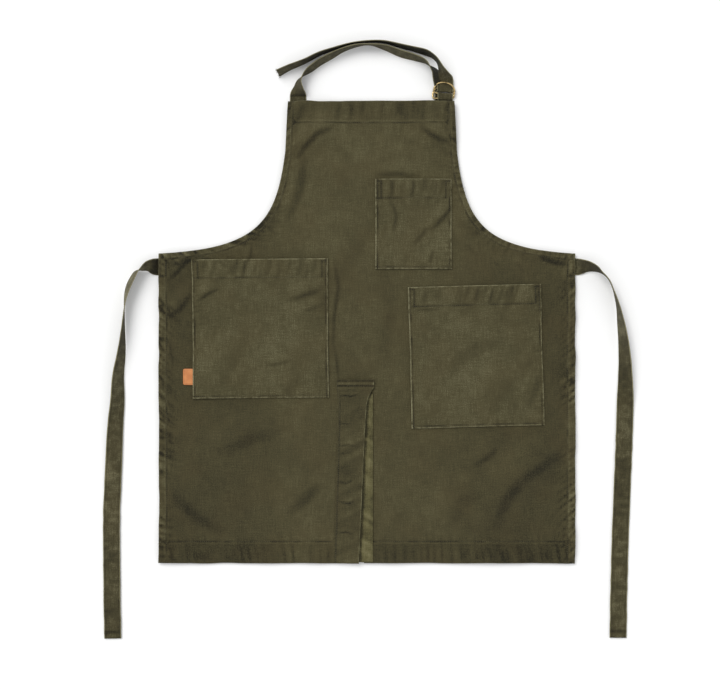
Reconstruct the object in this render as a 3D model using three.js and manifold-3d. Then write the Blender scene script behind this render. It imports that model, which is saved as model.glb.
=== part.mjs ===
// A gardening apron laid flat: canvas bib and skirt in one panel, three patch pockets, a split
// front hem, a leather tab, a neck strap through two D-rings, and two waist ties.
// Millimetres, +Z up. The panel lies with its hem along X and its bib towards +Y.
import * as THREE from "three";
import { mergeVertices } from "three/addons/utils/BufferGeometryUtils.js";
import Module from "manifold-3d";

// Panel outline
const skirtWidth = 706;
const panelLength = 786;
const bibWidth = 282;
const bibShift = 7; // how far the bib's centre line lies right of the skirt's
const bibSide = 88; // stretch of the bib's sides above the armhole curve
const bibFlare = 4.5; // how much each bib side leans out over that stretch
const waistHeight = 525;
// Handles of the armhole curve, as shares of its width and depth from the bib end
const armholeHandles = [
  { across: 0.069, down: 0.656 },
  { across: 0.183, down: 0.951 },
];
const armholeSteps = 14;

// Cloth
const clothThickness = 1.2;
const hemThickness = 2;
const gap = 0.3; // left between pieces that touch
const grid = 22; // spacing of the lines on which the cloth bends
const sideHem = 13;
const bottomHem = 36;
const bibHem = 38;
const armholeHem = 10;

// Soft folds of the laid panel: middle, length and width as shares of the skirt's width and the
// panel's length, height as a share of foldHeight, turn in degrees from the X axis
const foldHeight = 7;
const folds = [
  { across: 0.385, up: 0.182, length: 0.27, width: 0.1, turn: 44, height: 1 },
  { across: 0.29, up: 0.24, length: 0.13, width: 0.075, turn: 37, height: 0.5 },
  { across: 0.43, up: 0.37, length: 0.3, width: 0.08, turn: 80, height: 0.45 },
  { across: -0.135, up: 0.92, length: 0.15, width: 0.08, turn: 42, height: 0.5 },
  { across: 0.175, up: 0.925, length: 0.13, width: 0.08, turn: -27, height: 0.5 },
  { across: 0.1, up: 0.78, length: 0.3, width: 0.075, turn: 97, height: 0.3 },
  { across: -0.46, up: 0.555, length: 0.12, width: 0.08, turn: 41, height: 0.5 },
  { across: -0.44, up: 0.64, length: 0.13, width: 0.08, turn: 33, height: 0.4 },
  { across: -0.055, up: 0.5, length: 0.32, width: 0.08, turn: 90, height: 0.4 },
  { across: -0.44, up: 0.2, length: 0.26, width: 0.09, turn: 76, height: 0.35 },
  { across: 0.2, up: 0.09, length: 0.18, width: 0.08, turn: 12, height: 0.3 },
];

// Patch pockets: middle of the pocket from the panel's centre line and hem
const pocketBow = 2.5; // how far a pocket's mouth stands off the panel
const pocketCorner = 2;
const chestPocket = { x: 79, y: 575.5, width: 130, height: 153, turn: 0, hem: 32.6 };
const leftPocket = { x: -181, y: 398, width: 231, height: 236, turn: 0.5, hem: 31.5 };
const rightPocket = { x: 185.5, y: 351, width: 226, height: 240, turn: 1.5, hem: 33 };

// Leather tab in the left pocket's side seam
const leatherThickness = 1.8;
const tabLength = 16; // what shows beside the pocket
const tabTuck = 7; // what the pocket covers
const tabHeight = 28;
const tabCorner = 3;
const tabDrop = 200; // from the pocket's top edge to the tab's middle

// Split in the front hem: the overlapping placket and the binding under it
const slitLength = 297;
const slitX = -17;
const slitGap = 32; // between the two cut edges of the panel
const slitGapShift = -4; // middle of that gap from slitX
const placketWidth = 44;
// Edges of the placket, as shares of its width from slitX, down the slit
const placketRows = [
  { down: -0.048, left: -0.62, right: 0.657 },
  { down: -0.006, left: -0.62, right: 0.657 },
  { down: 0.02, left: -0.65, right: 0.55 },
  { down: 0.06, left: -0.68, right: 0.42 },
  { down: 0.1, left: -0.715, right: 0.367 },
  { down: 0.28, left: -0.755, right: 0.297 },
  { down: 0.76, left: -0.87, right: 0.15 },
  { down: 1, left: -0.927, right: 0.07 },
];
const bindingRows = [
  { down: 0.03, left: -0.19, right: 0.62 },
  { down: 0.993, left: -0.19, right: 0.62 },
];

// Neck strap and its two D-rings
const strapWidth = 28;
const strapThickness = 1.6;
const strapInset = 3; // from the bib's corner to the strap's edge
const strapTuck = 30; // sewn behind the bib's hem
const strapFlat = 6; // stretch past the bib's edge before the strap rolls
const neckRise = 104; // how far the loop reaches above the bib
const ringWidth = 38;
const ringHeight = 23.6;
const ringSide = 7; // straight stretch of a ring's sides
const ringWire = 2.6;
const ringTilt = 8; // degrees by which the upper ring rises off the lower one
const barSetback = 3.4; // from the bib's edge to the lower ring's bar
const barSpacing = 6.6;
const ringTabWidth = 26;
const ringTabInset = 2; // from the bib's corner to the tab's edge
// Free run of the strap from the bib's left corner to the rings: place as shares of the bib's width
// and of neckRise, tilt in degrees about the strap's run
const neckRun = [
  { across: -0.44, up: 0.12, tilt: -22 },
  { across: -0.438, up: 0.203, tilt: -52 },
  { across: -0.434, up: 0.309, tilt: -74 },
  { across: -0.416, up: 0.391, tilt: -92 },
  { across: -0.377, up: 0.489, tilt: -112 },
  { across: -0.31, up: 0.623, tilt: -115 },
  { across: -0.247, up: 0.718, tilt: -114 },
  { across: -0.175, up: 0.819, tilt: -106 },
  { across: -0.096, up: 0.891, tilt: -101 },
  { across: -0.012, up: 0.915, tilt: -95 },
  { across: 0.084, up: 0.865, tilt: -110 },
  { across: 0.181, up: 0.765, tilt: -117 },
  { across: 0.265, up: 0.7, tilt: -114 },
  { across: 0.326, up: 0.636, tilt: -104 },
  { across: 0.353, up: 0.57, tilt: -90 },
  { across: 0.38, up: 0.538, tilt: -70 },
  { across: 0.407, up: 0.497, tilt: -42 },
  { across: 0.425, up: 0.415, tilt: -14 },
];
// Tail of the strap from the rings to its cut end; lift is the height of its lower edge as a share
// of the strap's width
const tailRun = [
  { across: 0.44, up: 0.382, tilt: 155, lift: 0.21 },
  { across: 0.432, up: 0.464, tilt: 125, lift: 0.31 },
  { across: 0.419, up: 0.554, tilt: 108, lift: 0.33 },
  { across: 0.407, up: 0.623, tilt: 103, lift: 0.22 },
  { across: 0.392, up: 0.677, tilt: 104, lift: 0.1 },
  { across: 0.371, up: 0.726, tilt: 106, lift: 0.02 },
  { across: 0.331, up: 0.783, tilt: 112, lift: 0 },
  { across: 0.253, up: 0.843, tilt: 108, lift: 0 },
  { across: 0.181, up: 0.889, tilt: 106, lift: 0 },
  { across: 0.084, up: 0.955, tilt: 100, lift: 0 },
  { across: 0.012, up: 0.966, tilt: 98, lift: 0 },
  { across: -0.115, up: 0.935, tilt: 96, lift: 0 },
  { across: -0.229, up: 0.84, tilt: 102, lift: 0 },
  { across: -0.316, up: 0.758, tilt: 105, lift: 0 },
  { across: -0.392, up: 0.652, tilt: 108, lift: 0 },
  { across: -0.5, up: 0.53, tilt: 106, lift: 0 },
  { across: -0.567, up: 0.44, tilt: 104, lift: 0 },
];

// Waist ties, sewn behind the side hems
const tieWidth = 29;
const tieThickness = 1.6;
const tieTuck = 24;
const tieFlat = 11; // stretch past the skirt's edge before a tie rolls
const tieBelowWaist = 22; // from the waist corner to the tie's middle
const tieDrop = 632; // how far a tie runs down beside the skirt
const tieReach = 97; // how far it runs out from the skirt's edge
// Runs of the ties: out from the skirt's edge and down, as shares of tieReach and tieDrop
const leftTieRun = [
  { out: 0.18, down: 0, tilt: -42 },
  { out: 0.3, down: 0.004, tilt: -80 },
  { out: 0.4, down: 0.013, tilt: -100 },
  { out: 0.49, down: 0.035, tilt: -105 },
  { out: 0.55, down: 0.056, tilt: -105 },
  { out: 0.59, down: 0.078, tilt: -99 },
  { out: 0.615, down: 0.11, tilt: -90 },
  { out: 0.637, down: 0.169, tilt: -77 },
  { out: 0.66, down: 0.223, tilt: -62 },
  { out: 0.724, down: 0.299, tilt: -45 },
  { out: 0.735, down: 0.358, tilt: -33 },
  { out: 0.774, down: 0.433, tilt: -20 },
  { out: 0.803, down: 0.546, tilt: -5 },
  { out: 0.836, down: 0.654, tilt: 0 },
  { out: 0.836, down: 0.815, tilt: 0 },
  { out: 0.816, down: 1, tilt: 0 },
];
const rightTieRun = [
  { out: 0.166, down: -0.004, tilt: 50 },
  { out: 0.3, down: -0.001, tilt: 65 },
  { out: 0.389, down: 0.005, tilt: 75 },
  { out: 0.474, down: 0.015, tilt: 83 },
  { out: 0.552, down: 0.025, tilt: 88 },
  { out: 0.617, down: 0.038, tilt: 88 },
  { out: 0.675, down: 0.059, tilt: 88 },
  { out: 0.722, down: 0.081, tilt: 83 },
  { out: 0.77, down: 0.11, tilt: 76 },
  { out: 0.815, down: 0.153, tilt: 63 },
  { out: 0.859, down: 0.202, tilt: 52 },
  { out: 0.885, down: 0.261, tilt: 40 },
  { out: 0.89, down: 0.317, tilt: 26 },
  { out: 0.885, down: 0.371, tilt: 6 },
  { out: 0.868, down: 0.465, tilt: 0 },
  { out: 0.833, down: 0.6, tilt: 0 },
  { out: 0.797, down: 0.748, tilt: 0 },
  { out: 0.77, down: 0.907, tilt: 0 },
  { out: 0.763, down: 0.998, tilt: 0 },
];

// Materials
const canvas = { color: 0x504c35, roughness: 0.95, metalness: 0 };
const webbing = { color: 0x4a4732, roughness: 0.95, metalness: 0 };
const lightCanvas = { color: 0x696241, roughness: 0.95, metalness: 0 };
const brass = { color: 0xb48a45, roughness: 0.35, metalness: 1 };
const leather = { color: 0xcd8250, roughness: 0.6, metalness: 0 };

const wasm = await Module();
wasm.setup();

// Solids

// A closed geometry as a solid that can be joined and cut
function solidOf(geometry) {
  const bare = new THREE.BufferGeometry();
  bare.setAttribute("position", geometry.getAttribute("position"));
  bare.setIndex(geometry.index);
  const merged = mergeVertices(bare, 1e-4);
  return new wasm.Manifold(
    new wasm.Mesh({
      numProp: 3,
      vertProperties: new Float32Array(merged.attributes.position.array),
      triVerts: new Uint32Array(merged.index.array),
    }),
  );
}

function geometryOf(solid) {
  const cut = solid.getMesh();
  const geometry = new THREE.BufferGeometry();
  geometry.setAttribute("position", new THREE.BufferAttribute(cut.vertProperties, 3));
  geometry.setIndex(new THREE.BufferAttribute(cut.triVerts, 1));
  geometry.computeVertexNormals();
  return geometry;
}

// An upright prism over an outline, taller than the cloth
function prism(outline) {
  const below = -10;
  const tall = 100;
  const geometry = new THREE.ExtrudeGeometry(new THREE.Shape(outline), {
    depth: tall,
    bevelEnabled: false,
  });
  return solidOf(geometry.translate(0, 0, below));
}

function rectangle(left, bottom, right, top) {
  const corners = [[left, bottom], [right, bottom], [right, top], [left, top]];
  return corners.map(([x, y]) => new THREE.Vector2(x, y));
}

// A slab of cloth over the box of an outline. All slabs bend on the same grid lines, so one that
// lies on another stays clear of it.
function slab(outline, step, bottom, thickness) {
  const box = new THREE.Box2().setFromPoints(outline);
  const lines = (low, high, size) => {
    const from = Math.floor(low / size) - 1;
    const count = Math.ceil(high / size) + 2 - from;
    return Array.from({ length: count }, (_, i) => (from + i) * size);
  };
  const xs = lines(box.min.x, box.max.x, step.x);
  const ys = lines(box.min.y, box.max.y, step.y);
  const positions = [];
  for (const y of ys) {
    for (const x of xs) {
      const z = bottom(x, y);
      positions.push(x, y, z, x, y, z + thickness);
    }
  }
  const at = (i, j, level) => (j * xs.length + i) * 2 + level;
  const faces = [];
  const quad = (a, b, c, d) => faces.push(a, b, c, a, c, d);
  const lastX = xs.length - 1;
  const lastY = ys.length - 1;
  for (let j = 0; j < lastY; j++) {
    for (let i = 0; i < lastX; i++) {
      quad(at(i, j, 1), at(i + 1, j, 1), at(i + 1, j + 1, 1), at(i, j + 1, 1));
      faces.push(at(i, j, 0), at(i + 1, j + 1, 0), at(i + 1, j, 0));
      faces.push(at(i, j, 0), at(i, j + 1, 0), at(i + 1, j + 1, 0));
    }
  }
  for (let i = 0; i < lastX; i++) {
    quad(at(i, 0, 0), at(i + 1, 0, 0), at(i + 1, 0, 1), at(i, 0, 1));
    quad(at(i + 1, lastY, 0), at(i, lastY, 0), at(i, lastY, 1), at(i + 1, lastY, 1));
  }
  for (let j = 0; j < lastY; j++) {
    quad(at(0, j + 1, 0), at(0, j, 0), at(0, j, 1), at(0, j + 1, 1));
    quad(at(lastX, j, 0), at(lastX, j + 1, 0), at(lastX, j + 1, 1), at(lastX, j, 1));
  }
  const geometry = new THREE.BufferGeometry();
  geometry.setAttribute("position", new THREE.Float32BufferAttribute(positions, 3));
  geometry.setIndex(faces);
  return solidOf(geometry);
}

// A sheet cut to an outline, with a thicker hem everywhere outside its plain field
function clothPanel({ outline, bottom, thickness = clothThickness, plainField, step }) {
  const lines = step ?? new THREE.Vector2(grid, grid);
  let sheet = slab(outline, lines, bottom, thickness);
  if (plainField) {
    const middle = (x, y) => bottom(x, y) + thickness / 2;
    const hem = slab(outline, lines, middle, hemThickness - thickness / 2);
    sheet = sheet.add(hem.subtract(plainField));
  }
  return sheet.intersect(prism(outline));
}

// A flat band lofted through sections, each with its centre, its direction across and its normal
function ribbon(sections, width, thickness) {
  const positions = [];
  for (const { centre, across, normal } of sections) {
    for (const [side, face] of [[-1, -1], [1, -1], [1, 1], [-1, 1]]) {
      const corner = centre.clone();
      corner.addScaledVector(across, (side * width) / 2);
      corner.addScaledVector(normal, (face * thickness) / 2);
      positions.push(...corner);
    }
  }
  const faces = [0, 2, 1, 0, 3, 2];
  for (let i = 0; i < sections.length - 1; i++) {
    for (let k = 0; k < 4; k++) {
      const a = 4 * i + k;
      const b = 4 * i + ((k + 1) % 4);
      faces.push(a, b, b + 4, a, b + 4, a + 4);
    }
  }
  const end = 4 * (sections.length - 1);
  faces.push(end, end + 1, end + 2, end, end + 2, end + 3);
  const geometry = new THREE.BufferGeometry();
  geometry.setAttribute("position", new THREE.Float32BufferAttribute(positions, 3));
  geometry.setIndex(faces);
  return solidOf(geometry);
}

// Sections of a band that lies or stands on the floor along stations {x, y, tilt, lift}
function floorRun(stations, width, thickness, spacing) {
  const path = new THREE.CatmullRomCurve3(
    stations.map(({ x, y }) => new THREE.Vector3(x, y, 0)),
  );
  const roll = new THREE.CatmullRomCurve3(
    stations.map(({ tilt, lift }) => new THREE.Vector3(tilt, lift ?? 0, 0)),
  );
  const steps = Math.round(path.getLength() / spacing);
  const sections = [];
  for (let i = 0; i <= steps; i++) {
    const t = path.getUtoTmapping(i / steps);
    const heading = path.getTangent(t);
    const left = new THREE.Vector3(-heading.y, heading.x, 0);
    const tilt = THREE.MathUtils.degToRad(roll.getPoint(t).x);
    const lift = Math.max(roll.getPoint(t).y, 0);
    const centre = path.getPoint(t);
    centre.z = lift + (width * Math.abs(Math.sin(tilt)) + thickness * Math.abs(Math.cos(tilt))) / 2;
    const across = left.clone().multiplyScalar(Math.cos(tilt));
    across.z = Math.sin(tilt);
    const normal = left.clone().multiplyScalar(-Math.sin(tilt));
    normal.z = Math.cos(tilt);
    sections.push({ centre, across, normal });
  }
  return sections;
}

// Points round a bar in the YZ plane, from one angle to another
function roundBar(bar, radius, from, to, steps) {
  return Array.from({ length: steps + 1 }, (_, i) => {
    const angle = THREE.MathUtils.degToRad(from + ((to - from) * i) / steps);
    return { y: bar.y + radius * Math.cos(angle), z: bar.z + radius * Math.sin(angle), angle };
  });
}

const parts = new THREE.Group();

function addPart(name, geometry, look) {
  const mesh = new THREE.Mesh(geometry, new THREE.MeshStandardMaterial(look));
  mesh.name = name;
  parts.add(mesh);
  return mesh;
}

// Drape of the laid panel

const skirtHalf = skirtWidth / 2;
const bibHalf = bibWidth / 2;
const bump = (share) => (Math.abs(share) < 1 ? (1 - share * share) ** 2 : 0);

function foldRise(x, y) {
  let rise = 0;
  for (const { across, up, length, width, turn, height } of folds) {
    const angle = THREE.MathUtils.degToRad(turn);
    const dx = x - across * skirtWidth;
    const dy = y - up * panelLength;
    const along = dx * Math.cos(angle) + dy * Math.sin(angle);
    const aside = dy * Math.cos(angle) - dx * Math.sin(angle);
    const half = panelLength / 2;
    rise += foldHeight * height * bump(along / (length * half)) * bump(aside / (width * half));
  }
  return rise;
}

// A raised place in cloth over something sewn behind it, level for one grid cell beyond it
function coverRise({ left, bottom, right, top, rise }, x, y) {
  const ramp = 2 * grid;
  const fade = (outside) => bump(Math.max(outside - grid, 0) / ramp);
  return rise * fade(Math.max(left - x, x - right)) * fade(Math.max(bottom - y, y - top));
}

const strapX = bibShift - bibHalf + strapInset + strapWidth / 2;
const tabX = bibShift + bibHalf - ringTabInset - ringTabWidth / 2;
const tieY = waistHeight - tieBelowWaist;
const tieCover = { bottom: tieY - tieWidth / 2, top: tieY + tieWidth / 2, rise: tieThickness + gap };
const covers = [
  {
    left: strapX - strapWidth / 2,
    right: strapX + strapWidth / 2,
    bottom: panelLength - strapTuck,
    top: panelLength,
    rise: strapThickness + gap,
  },
  {
    left: tabX - ringTabWidth / 2,
    right: tabX + ringTabWidth / 2,
    bottom: panelLength - strapTuck,
    top: panelLength,
    rise: 2 * (strapThickness + gap),
  },
  { left: -skirtHalf, right: -skirtHalf + tieTuck, ...tieCover },
  { left: skirtHalf - tieTuck, right: skirtHalf, ...tieCover },
];

const underside = (x, y) =>
  covers.reduce((rise, cover) => rise + coverRise(cover, x, y), foldRise(x, y));
const onCloth = (x, y) => underside(x, y) + clothThickness + gap;
const onHem = (x, y) => underside(x, y) + hemThickness + gap;

// Body panel

// Points of one armhole from the bib's top edge to the skirt's side, moved into the cloth by inset
function armholeEdge(side, inset) {
  const start = { x: bibHalf + bibFlare, y: panelLength - bibSide };
  const end = { x: skirtHalf - side * bibShift, y: waistHeight };
  const handle = ({ across, down }) =>
    new THREE.Vector2(
      start.x + across * (end.x - start.x),
      start.y - down * (start.y - end.y),
    );
  const curve = new THREE.CubicBezierCurve(
    new THREE.Vector2(start.x, start.y),
    handle(armholeHandles[0]),
    handle(armholeHandles[1]),
    new THREE.Vector2(end.x, end.y),
  );
  const points = curve.getPoints(armholeSteps).map((point, i) => {
    const tangent = curve.getTangent(i / armholeSteps);
    return new THREE.Vector2(point.x + tangent.y * inset, point.y - tangent.x * inset);
  });
  points.unshift(new THREE.Vector2(bibHalf - inset, panelLength));
  return points.map(({ x, y }) => new THREE.Vector2(bibShift + side * x, y));
}

const panelOutline = [
  new THREE.Vector2(-skirtHalf, 0),
  new THREE.Vector2(skirtHalf, 0),
  ...armholeEdge(1, 0).reverse(),
  ...armholeEdge(-1, 0),
];
const beyond = 2 * grid;
const insetOutline = [
  new THREE.Vector2(-skirtHalf - beyond, -beyond),
  new THREE.Vector2(skirtHalf + beyond, -beyond),
  new THREE.Vector2(skirtHalf + beyond, waistHeight - armholeHem),
  ...armholeEdge(1, armholeHem).reverse(),
  ...armholeEdge(-1, armholeHem),
  new THREE.Vector2(-skirtHalf - beyond, waistHeight - armholeHem),
];
const hemField = rectangle(
  -skirtHalf + sideHem,
  bottomHem,
  skirtHalf - sideHem,
  panelLength - bibHem,
);
const slitMiddle = slitX + slitGapShift;
const slitCut = rectangle(
  slitMiddle - slitGap / 2,
  -beyond,
  slitMiddle + slitGap / 2,
  slitLength,
);
const bodyPanel = clothPanel({
  outline: panelOutline,
  bottom: underside,
  plainField: prism(insetOutline).intersect(prism(hemField)),
}).subtract(prism(slitCut));
addPart("body_panel", geometryOf(bodyPanel), canvas);

// Split hem

function stripOutline(rows) {
  const edge = (side) => (row) =>
    new THREE.Vector2(slitX + row[side] * placketWidth, slitLength * (1 - row.down));
  return [...rows.map(edge("left")), ...rows.map(edge("right")).reverse()];
}

const stripStep = new THREE.Vector2(placketWidth / 8, grid * 1.5);
const binding = clothPanel({ outline: stripOutline(bindingRows), bottom: onHem, step: stripStep });
addPart("slit_binding", geometryOf(binding), lightCanvas);

// The placket steps up from the left panel onto the binding
const bindingLeft = slitX + bindingRows[0].left * placketWidth;
const stepUp = (x) =>
  (clothThickness + gap) *
  THREE.MathUtils.smoothstep(x, bindingLeft - 2.2 * stripStep.x, bindingLeft - stripStep.x);
const placket = clothPanel({
  outline: stripOutline(placketRows),
  bottom: (x, y) => onHem(x, y) + stepUp(x),
  step: stripStep,
});
addPart("slit_placket", geometryOf(placket), canvas);

// Pockets

function roundedRectangle({ x, y, width, height, turn }, radius) {
  const shape = new THREE.Shape();
  const w = width / 2;
  const h = height / 2;
  shape.moveTo(-w + radius, -h);
  shape.lineTo(w - radius, -h);
  shape.absarc(w - radius, -h + radius, radius, -Math.PI / 2, 0, false);
  shape.lineTo(w, h);
  shape.lineTo(-w, h);
  shape.absarc(-w + radius, -h + radius, radius, Math.PI, 1.5 * Math.PI, false);
  const middle = new THREE.Vector2(x, y);
  const angle = THREE.MathUtils.degToRad(turn);
  const corners = shape.getPoints(3);
  corners.pop(); // the last point closes on the first
  return corners.map((p) => p.rotateAround(new THREE.Vector2(), angle).add(middle));
}

function patchPocket(pocket, cover) {
  const middle = new THREE.Vector2(pocket.x, pocket.y);
  const angle = THREE.MathUtils.degToRad(pocket.turn);
  const bottom = (x, y) => {
    const local = new THREE.Vector2(x, y).rotateAround(middle, -angle).sub(middle);
    const across = Math.min(Math.abs((2 * local.x) / pocket.width), 1);
    const up = THREE.MathUtils.clamp(0.5 + local.y / pocket.height, 0, 1);
    return onCloth(x, y) + pocketBow * (1 - across ** 2) * up ** 1.5 + (cover?.(x, y) ?? 0);
  };
  const plain = {
    ...pocket,
    width: pocket.width + 2 * beyond,
    height: pocket.height + 2 * beyond,
    y: pocket.y - pocket.hem - beyond,
  };
  return clothPanel({
    outline: roundedRectangle(pocket, pocketCorner),
    bottom,
    plainField: prism(roundedRectangle(plain, pocketCorner)),
  });
}

const pocketEdge = leftPocket.x - leftPocket.width / 2;
const tabBox = { x: pocketEdge + (tabTuck - tabLength) / 2, width: tabLength + tabTuck };
const tabMiddle = leftPocket.y + leftPocket.height / 2 - tabDrop;
const tabCover = {
  left: pocketEdge,
  right: pocketEdge + tabTuck,
  bottom: tabMiddle - tabHeight / 2,
  top: tabMiddle + tabHeight / 2,
  rise: leatherThickness + gap,
};
addPart("chest_pocket", geometryOf(patchPocket(chestPocket)), canvas);
addPart(
  "left_pocket",
  geometryOf(patchPocket(leftPocket, (x, y) => coverRise(tabCover, x, y))),
  canvas,
);
addPart("right_pocket", geometryOf(patchPocket(rightPocket)), canvas);

// Leather tab, rounded at its free end
const tabOutline = roundedRectangle(
  { x: 0, y: 0, width: tabHeight, height: tabBox.width, turn: -90 },
  tabCorner,
).map((p) => new THREE.Vector2(tabBox.x + p.x, tabMiddle + p.y));
const leatherTab = clothPanel({
  outline: tabOutline,
  bottom: onCloth,
  thickness: leatherThickness,
});
addPart("leather_tab", geometryOf(leatherTab), leather);

// D-rings

const lowerBar = {
  y: panelLength + barSetback,
  z: strapThickness + gap + ringWire / 2,
};
const upperBar = { y: lowerBar.y + barSpacing, z: lowerBar.z + ringWire + gap };
const ringHalf = (ringWidth - ringWire) / 2;
const ringRise = ringHeight - ringWire;

function dRing() {
  const corner = 3;
  const sideSteps = 12;
  const path = new THREE.Path();
  path.moveTo(-ringHalf + corner, 0);
  path.lineTo(ringHalf - corner, 0);
  path.absarc(ringHalf - corner, corner, corner, -Math.PI / 2, 0, false);
  path.absellipse(0, ringSide, ringHalf, ringRise - ringSide, 0, Math.PI, false);
  path.absarc(-ringHalf + corner, corner, corner, Math.PI, 1.5 * Math.PI, false);
  path.closePath();
  const points = path.getSpacedPoints(3 * sideSteps).slice(0, -1);
  const loop = new THREE.CatmullRomCurve3(
    points.map(({ x, y }) => new THREE.Vector3(x, y, 0)),
    true,
  );
  return new THREE.TubeGeometry(loop, 3 * sideSteps, ringWire / 2, 8, true);
}

for (const [name, bar, tilt] of [
  ["d_ring_lower", lowerBar, 0],
  ["d_ring_upper", upperBar, ringTilt],
]) {
  const ring = addPart(name, geometryOf(solidOf(dRing())), brass);
  ring.position.set(tabX, bar.y, bar.z);
  ring.rotation.x = THREE.MathUtils.degToRad(tilt);
}

// Ring tab: a folded strap round both bars, its two ends behind the bib's hem

const wrapRadius = ringWire / 2 + gap + strapThickness / 2;
const slope = THREE.MathUtils.radToDeg(Math.atan2(upperBar.z - lowerBar.z, barSpacing));
const legEnd = panelLength - strapTuck;
const underLeg = strapThickness / 2;
const overLeg = underLeg + strapThickness + gap;
const tabPath = [
  { y: legEnd, z: underLeg, angle: -Math.PI / 2 },
  ...roundBar(lowerBar, wrapRadius, -90, -90 + slope, 2),
  ...roundBar(upperBar, wrapRadius, -90 + slope, 90 + slope, 8),
  ...roundBar(lowerBar, wrapRadius, 90 + slope, 150, 2),
  { y: panelLength + gap, z: overLeg, angle: Math.PI * 0.66 },
  { y: panelLength - 2, z: overLeg, angle: Math.PI / 2 },
  { y: legEnd, z: overLeg, angle: Math.PI / 2 },
];
const tabSections = tabPath.map(({ y, z, angle }) => ({
  centre: new THREE.Vector3(tabX, y, z),
  across: new THREE.Vector3(-1, 0, 0),
  normal: new THREE.Vector3(0, -Math.cos(angle), -Math.sin(angle)),
}));
addPart("ring_tab", geometryOf(ribbon(tabSections, ringTabWidth, strapThickness)), webbing);

// Neck strap: from behind the bib's left corner, round the neck loop, under both rings, back over
// the lower ring and under the upper one, and along the loop to its cut end

const turnBar = {
  y: upperBar.y + 2 * (wrapRadius + strapThickness / 2) + gap,
  z: lowerBar.z,
};
const neckStation = ({ across, up, tilt, lift }) => ({
  x: bibShift + across * bibWidth,
  y: panelLength + up * neckRise,
  tilt,
  lift: (lift ?? 0) * strapWidth,
});
const ringTop = upperBar.y + ringRise;
const overRing = lowerBar.z + ringWire / 2 + gap;
const mainStations = [
  { x: strapX, y: panelLength - strapTuck, tilt: 0 },
  { x: strapX, y: panelLength, tilt: 0 },
  { x: strapX, y: panelLength + strapFlat, tilt: 0 },
  ...neckRun.map(neckStation),
  { x: tabX - 2, y: ringTop, tilt: 0 },
  { x: tabX, y: turnBar.y, tilt: 0 },
];
const tailStations = [
  { x: tabX, y: turnBar.y, tilt: 180, lift: overRing },
  { x: tabX, y: ringTop + ringWire, tilt: 180, lift: overRing },
  ...tailRun.map(neckStation),
];
const strapSpacing = 6;
const turnSections = roundBar(turnBar, wrapRadius, 270, 90, 8)
  .slice(1, -1)
  .map(({ y, z, angle }) => ({
    centre: new THREE.Vector3(tabX, y, z),
    across: new THREE.Vector3(1, 0, 0),
    normal: new THREE.Vector3(0, -Math.cos(angle), -Math.sin(angle)),
  }));
const neckSections = [
  ...floorRun(mainStations, strapWidth, strapThickness, strapSpacing),
  ...turnSections,
  ...floorRun(tailStations, strapWidth, strapThickness, strapSpacing),
];
addPart("neck_strap", geometryOf(ribbon(neckSections, strapWidth, strapThickness)), webbing);

// Waist ties

const tieSpacing = 11;
for (const [name, side, run] of [
  ["left_waist_tie", -1, leftTieRun],
  ["right_waist_tie", 1, rightTieRun],
]) {
  const stations = [
    { x: side * (skirtHalf - tieTuck), y: tieY, tilt: 0 },
    { x: side * skirtHalf, y: tieY, tilt: 0 },
    { x: side * (skirtHalf + tieFlat), y: tieY, tilt: 0 },
    ...run.map(({ out, down, tilt }) => ({
      x: side * (skirtHalf + out * tieReach),
      y: tieY - down * tieDrop,
      tilt,
    })),
  ];
  const sections = floorRun(stations, tieWidth, tieThickness, tieSpacing);
  addPart(name, geometryOf(ribbon(sections, tieWidth, tieThickness)), webbing);
}

// The apron's origin is the middle of its underside
const extent = new THREE.Box3().setFromObject(parts, true);
const middle = extent.getCenter(new THREE.Vector3());
parts.position.set(-middle.x, -middle.y, -extent.min.z);

const apron = new THREE.Group();
apron.add(parts);

export default apron;
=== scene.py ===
import math

import bpy
import numpy as np
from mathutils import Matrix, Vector
from mathutils.geometry import delaunay_2d_cdt


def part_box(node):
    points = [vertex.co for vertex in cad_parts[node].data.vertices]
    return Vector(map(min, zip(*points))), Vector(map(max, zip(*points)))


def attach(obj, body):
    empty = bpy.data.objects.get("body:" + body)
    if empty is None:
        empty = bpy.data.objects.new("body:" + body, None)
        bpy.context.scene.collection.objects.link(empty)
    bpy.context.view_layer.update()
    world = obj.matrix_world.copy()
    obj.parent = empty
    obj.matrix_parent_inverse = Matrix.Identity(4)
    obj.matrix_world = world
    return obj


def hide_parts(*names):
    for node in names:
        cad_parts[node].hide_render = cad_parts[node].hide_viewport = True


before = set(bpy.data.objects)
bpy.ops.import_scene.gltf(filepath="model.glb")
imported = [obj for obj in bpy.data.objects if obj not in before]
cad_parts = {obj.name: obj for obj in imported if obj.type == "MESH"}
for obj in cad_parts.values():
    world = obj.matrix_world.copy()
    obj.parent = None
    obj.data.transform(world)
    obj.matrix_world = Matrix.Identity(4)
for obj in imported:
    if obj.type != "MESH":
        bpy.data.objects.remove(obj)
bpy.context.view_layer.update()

MM = 0.001

# Shapes below are worked out in millimetres on the laid panel: x from its centre line, y up from
# its bottom hem. PANEL_LOW and PANEL_HIGH place that on the frame.
PANEL_LOW, PANEL_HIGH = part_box("body_panel")
ORIGIN_X = (PANEL_LOW.x + PANEL_HIGH.x) / 2
ORIGIN_Y = PANEL_LOW.y

# Camera: straight above; the picture's long side shows FRAME_WIDTH of the floor
FRAME_WIDTH = 1.224
LENS, SENSOR = 70.0, 36.0
LOOK_X, LOOK_Y = -0.0141, -0.010

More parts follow.
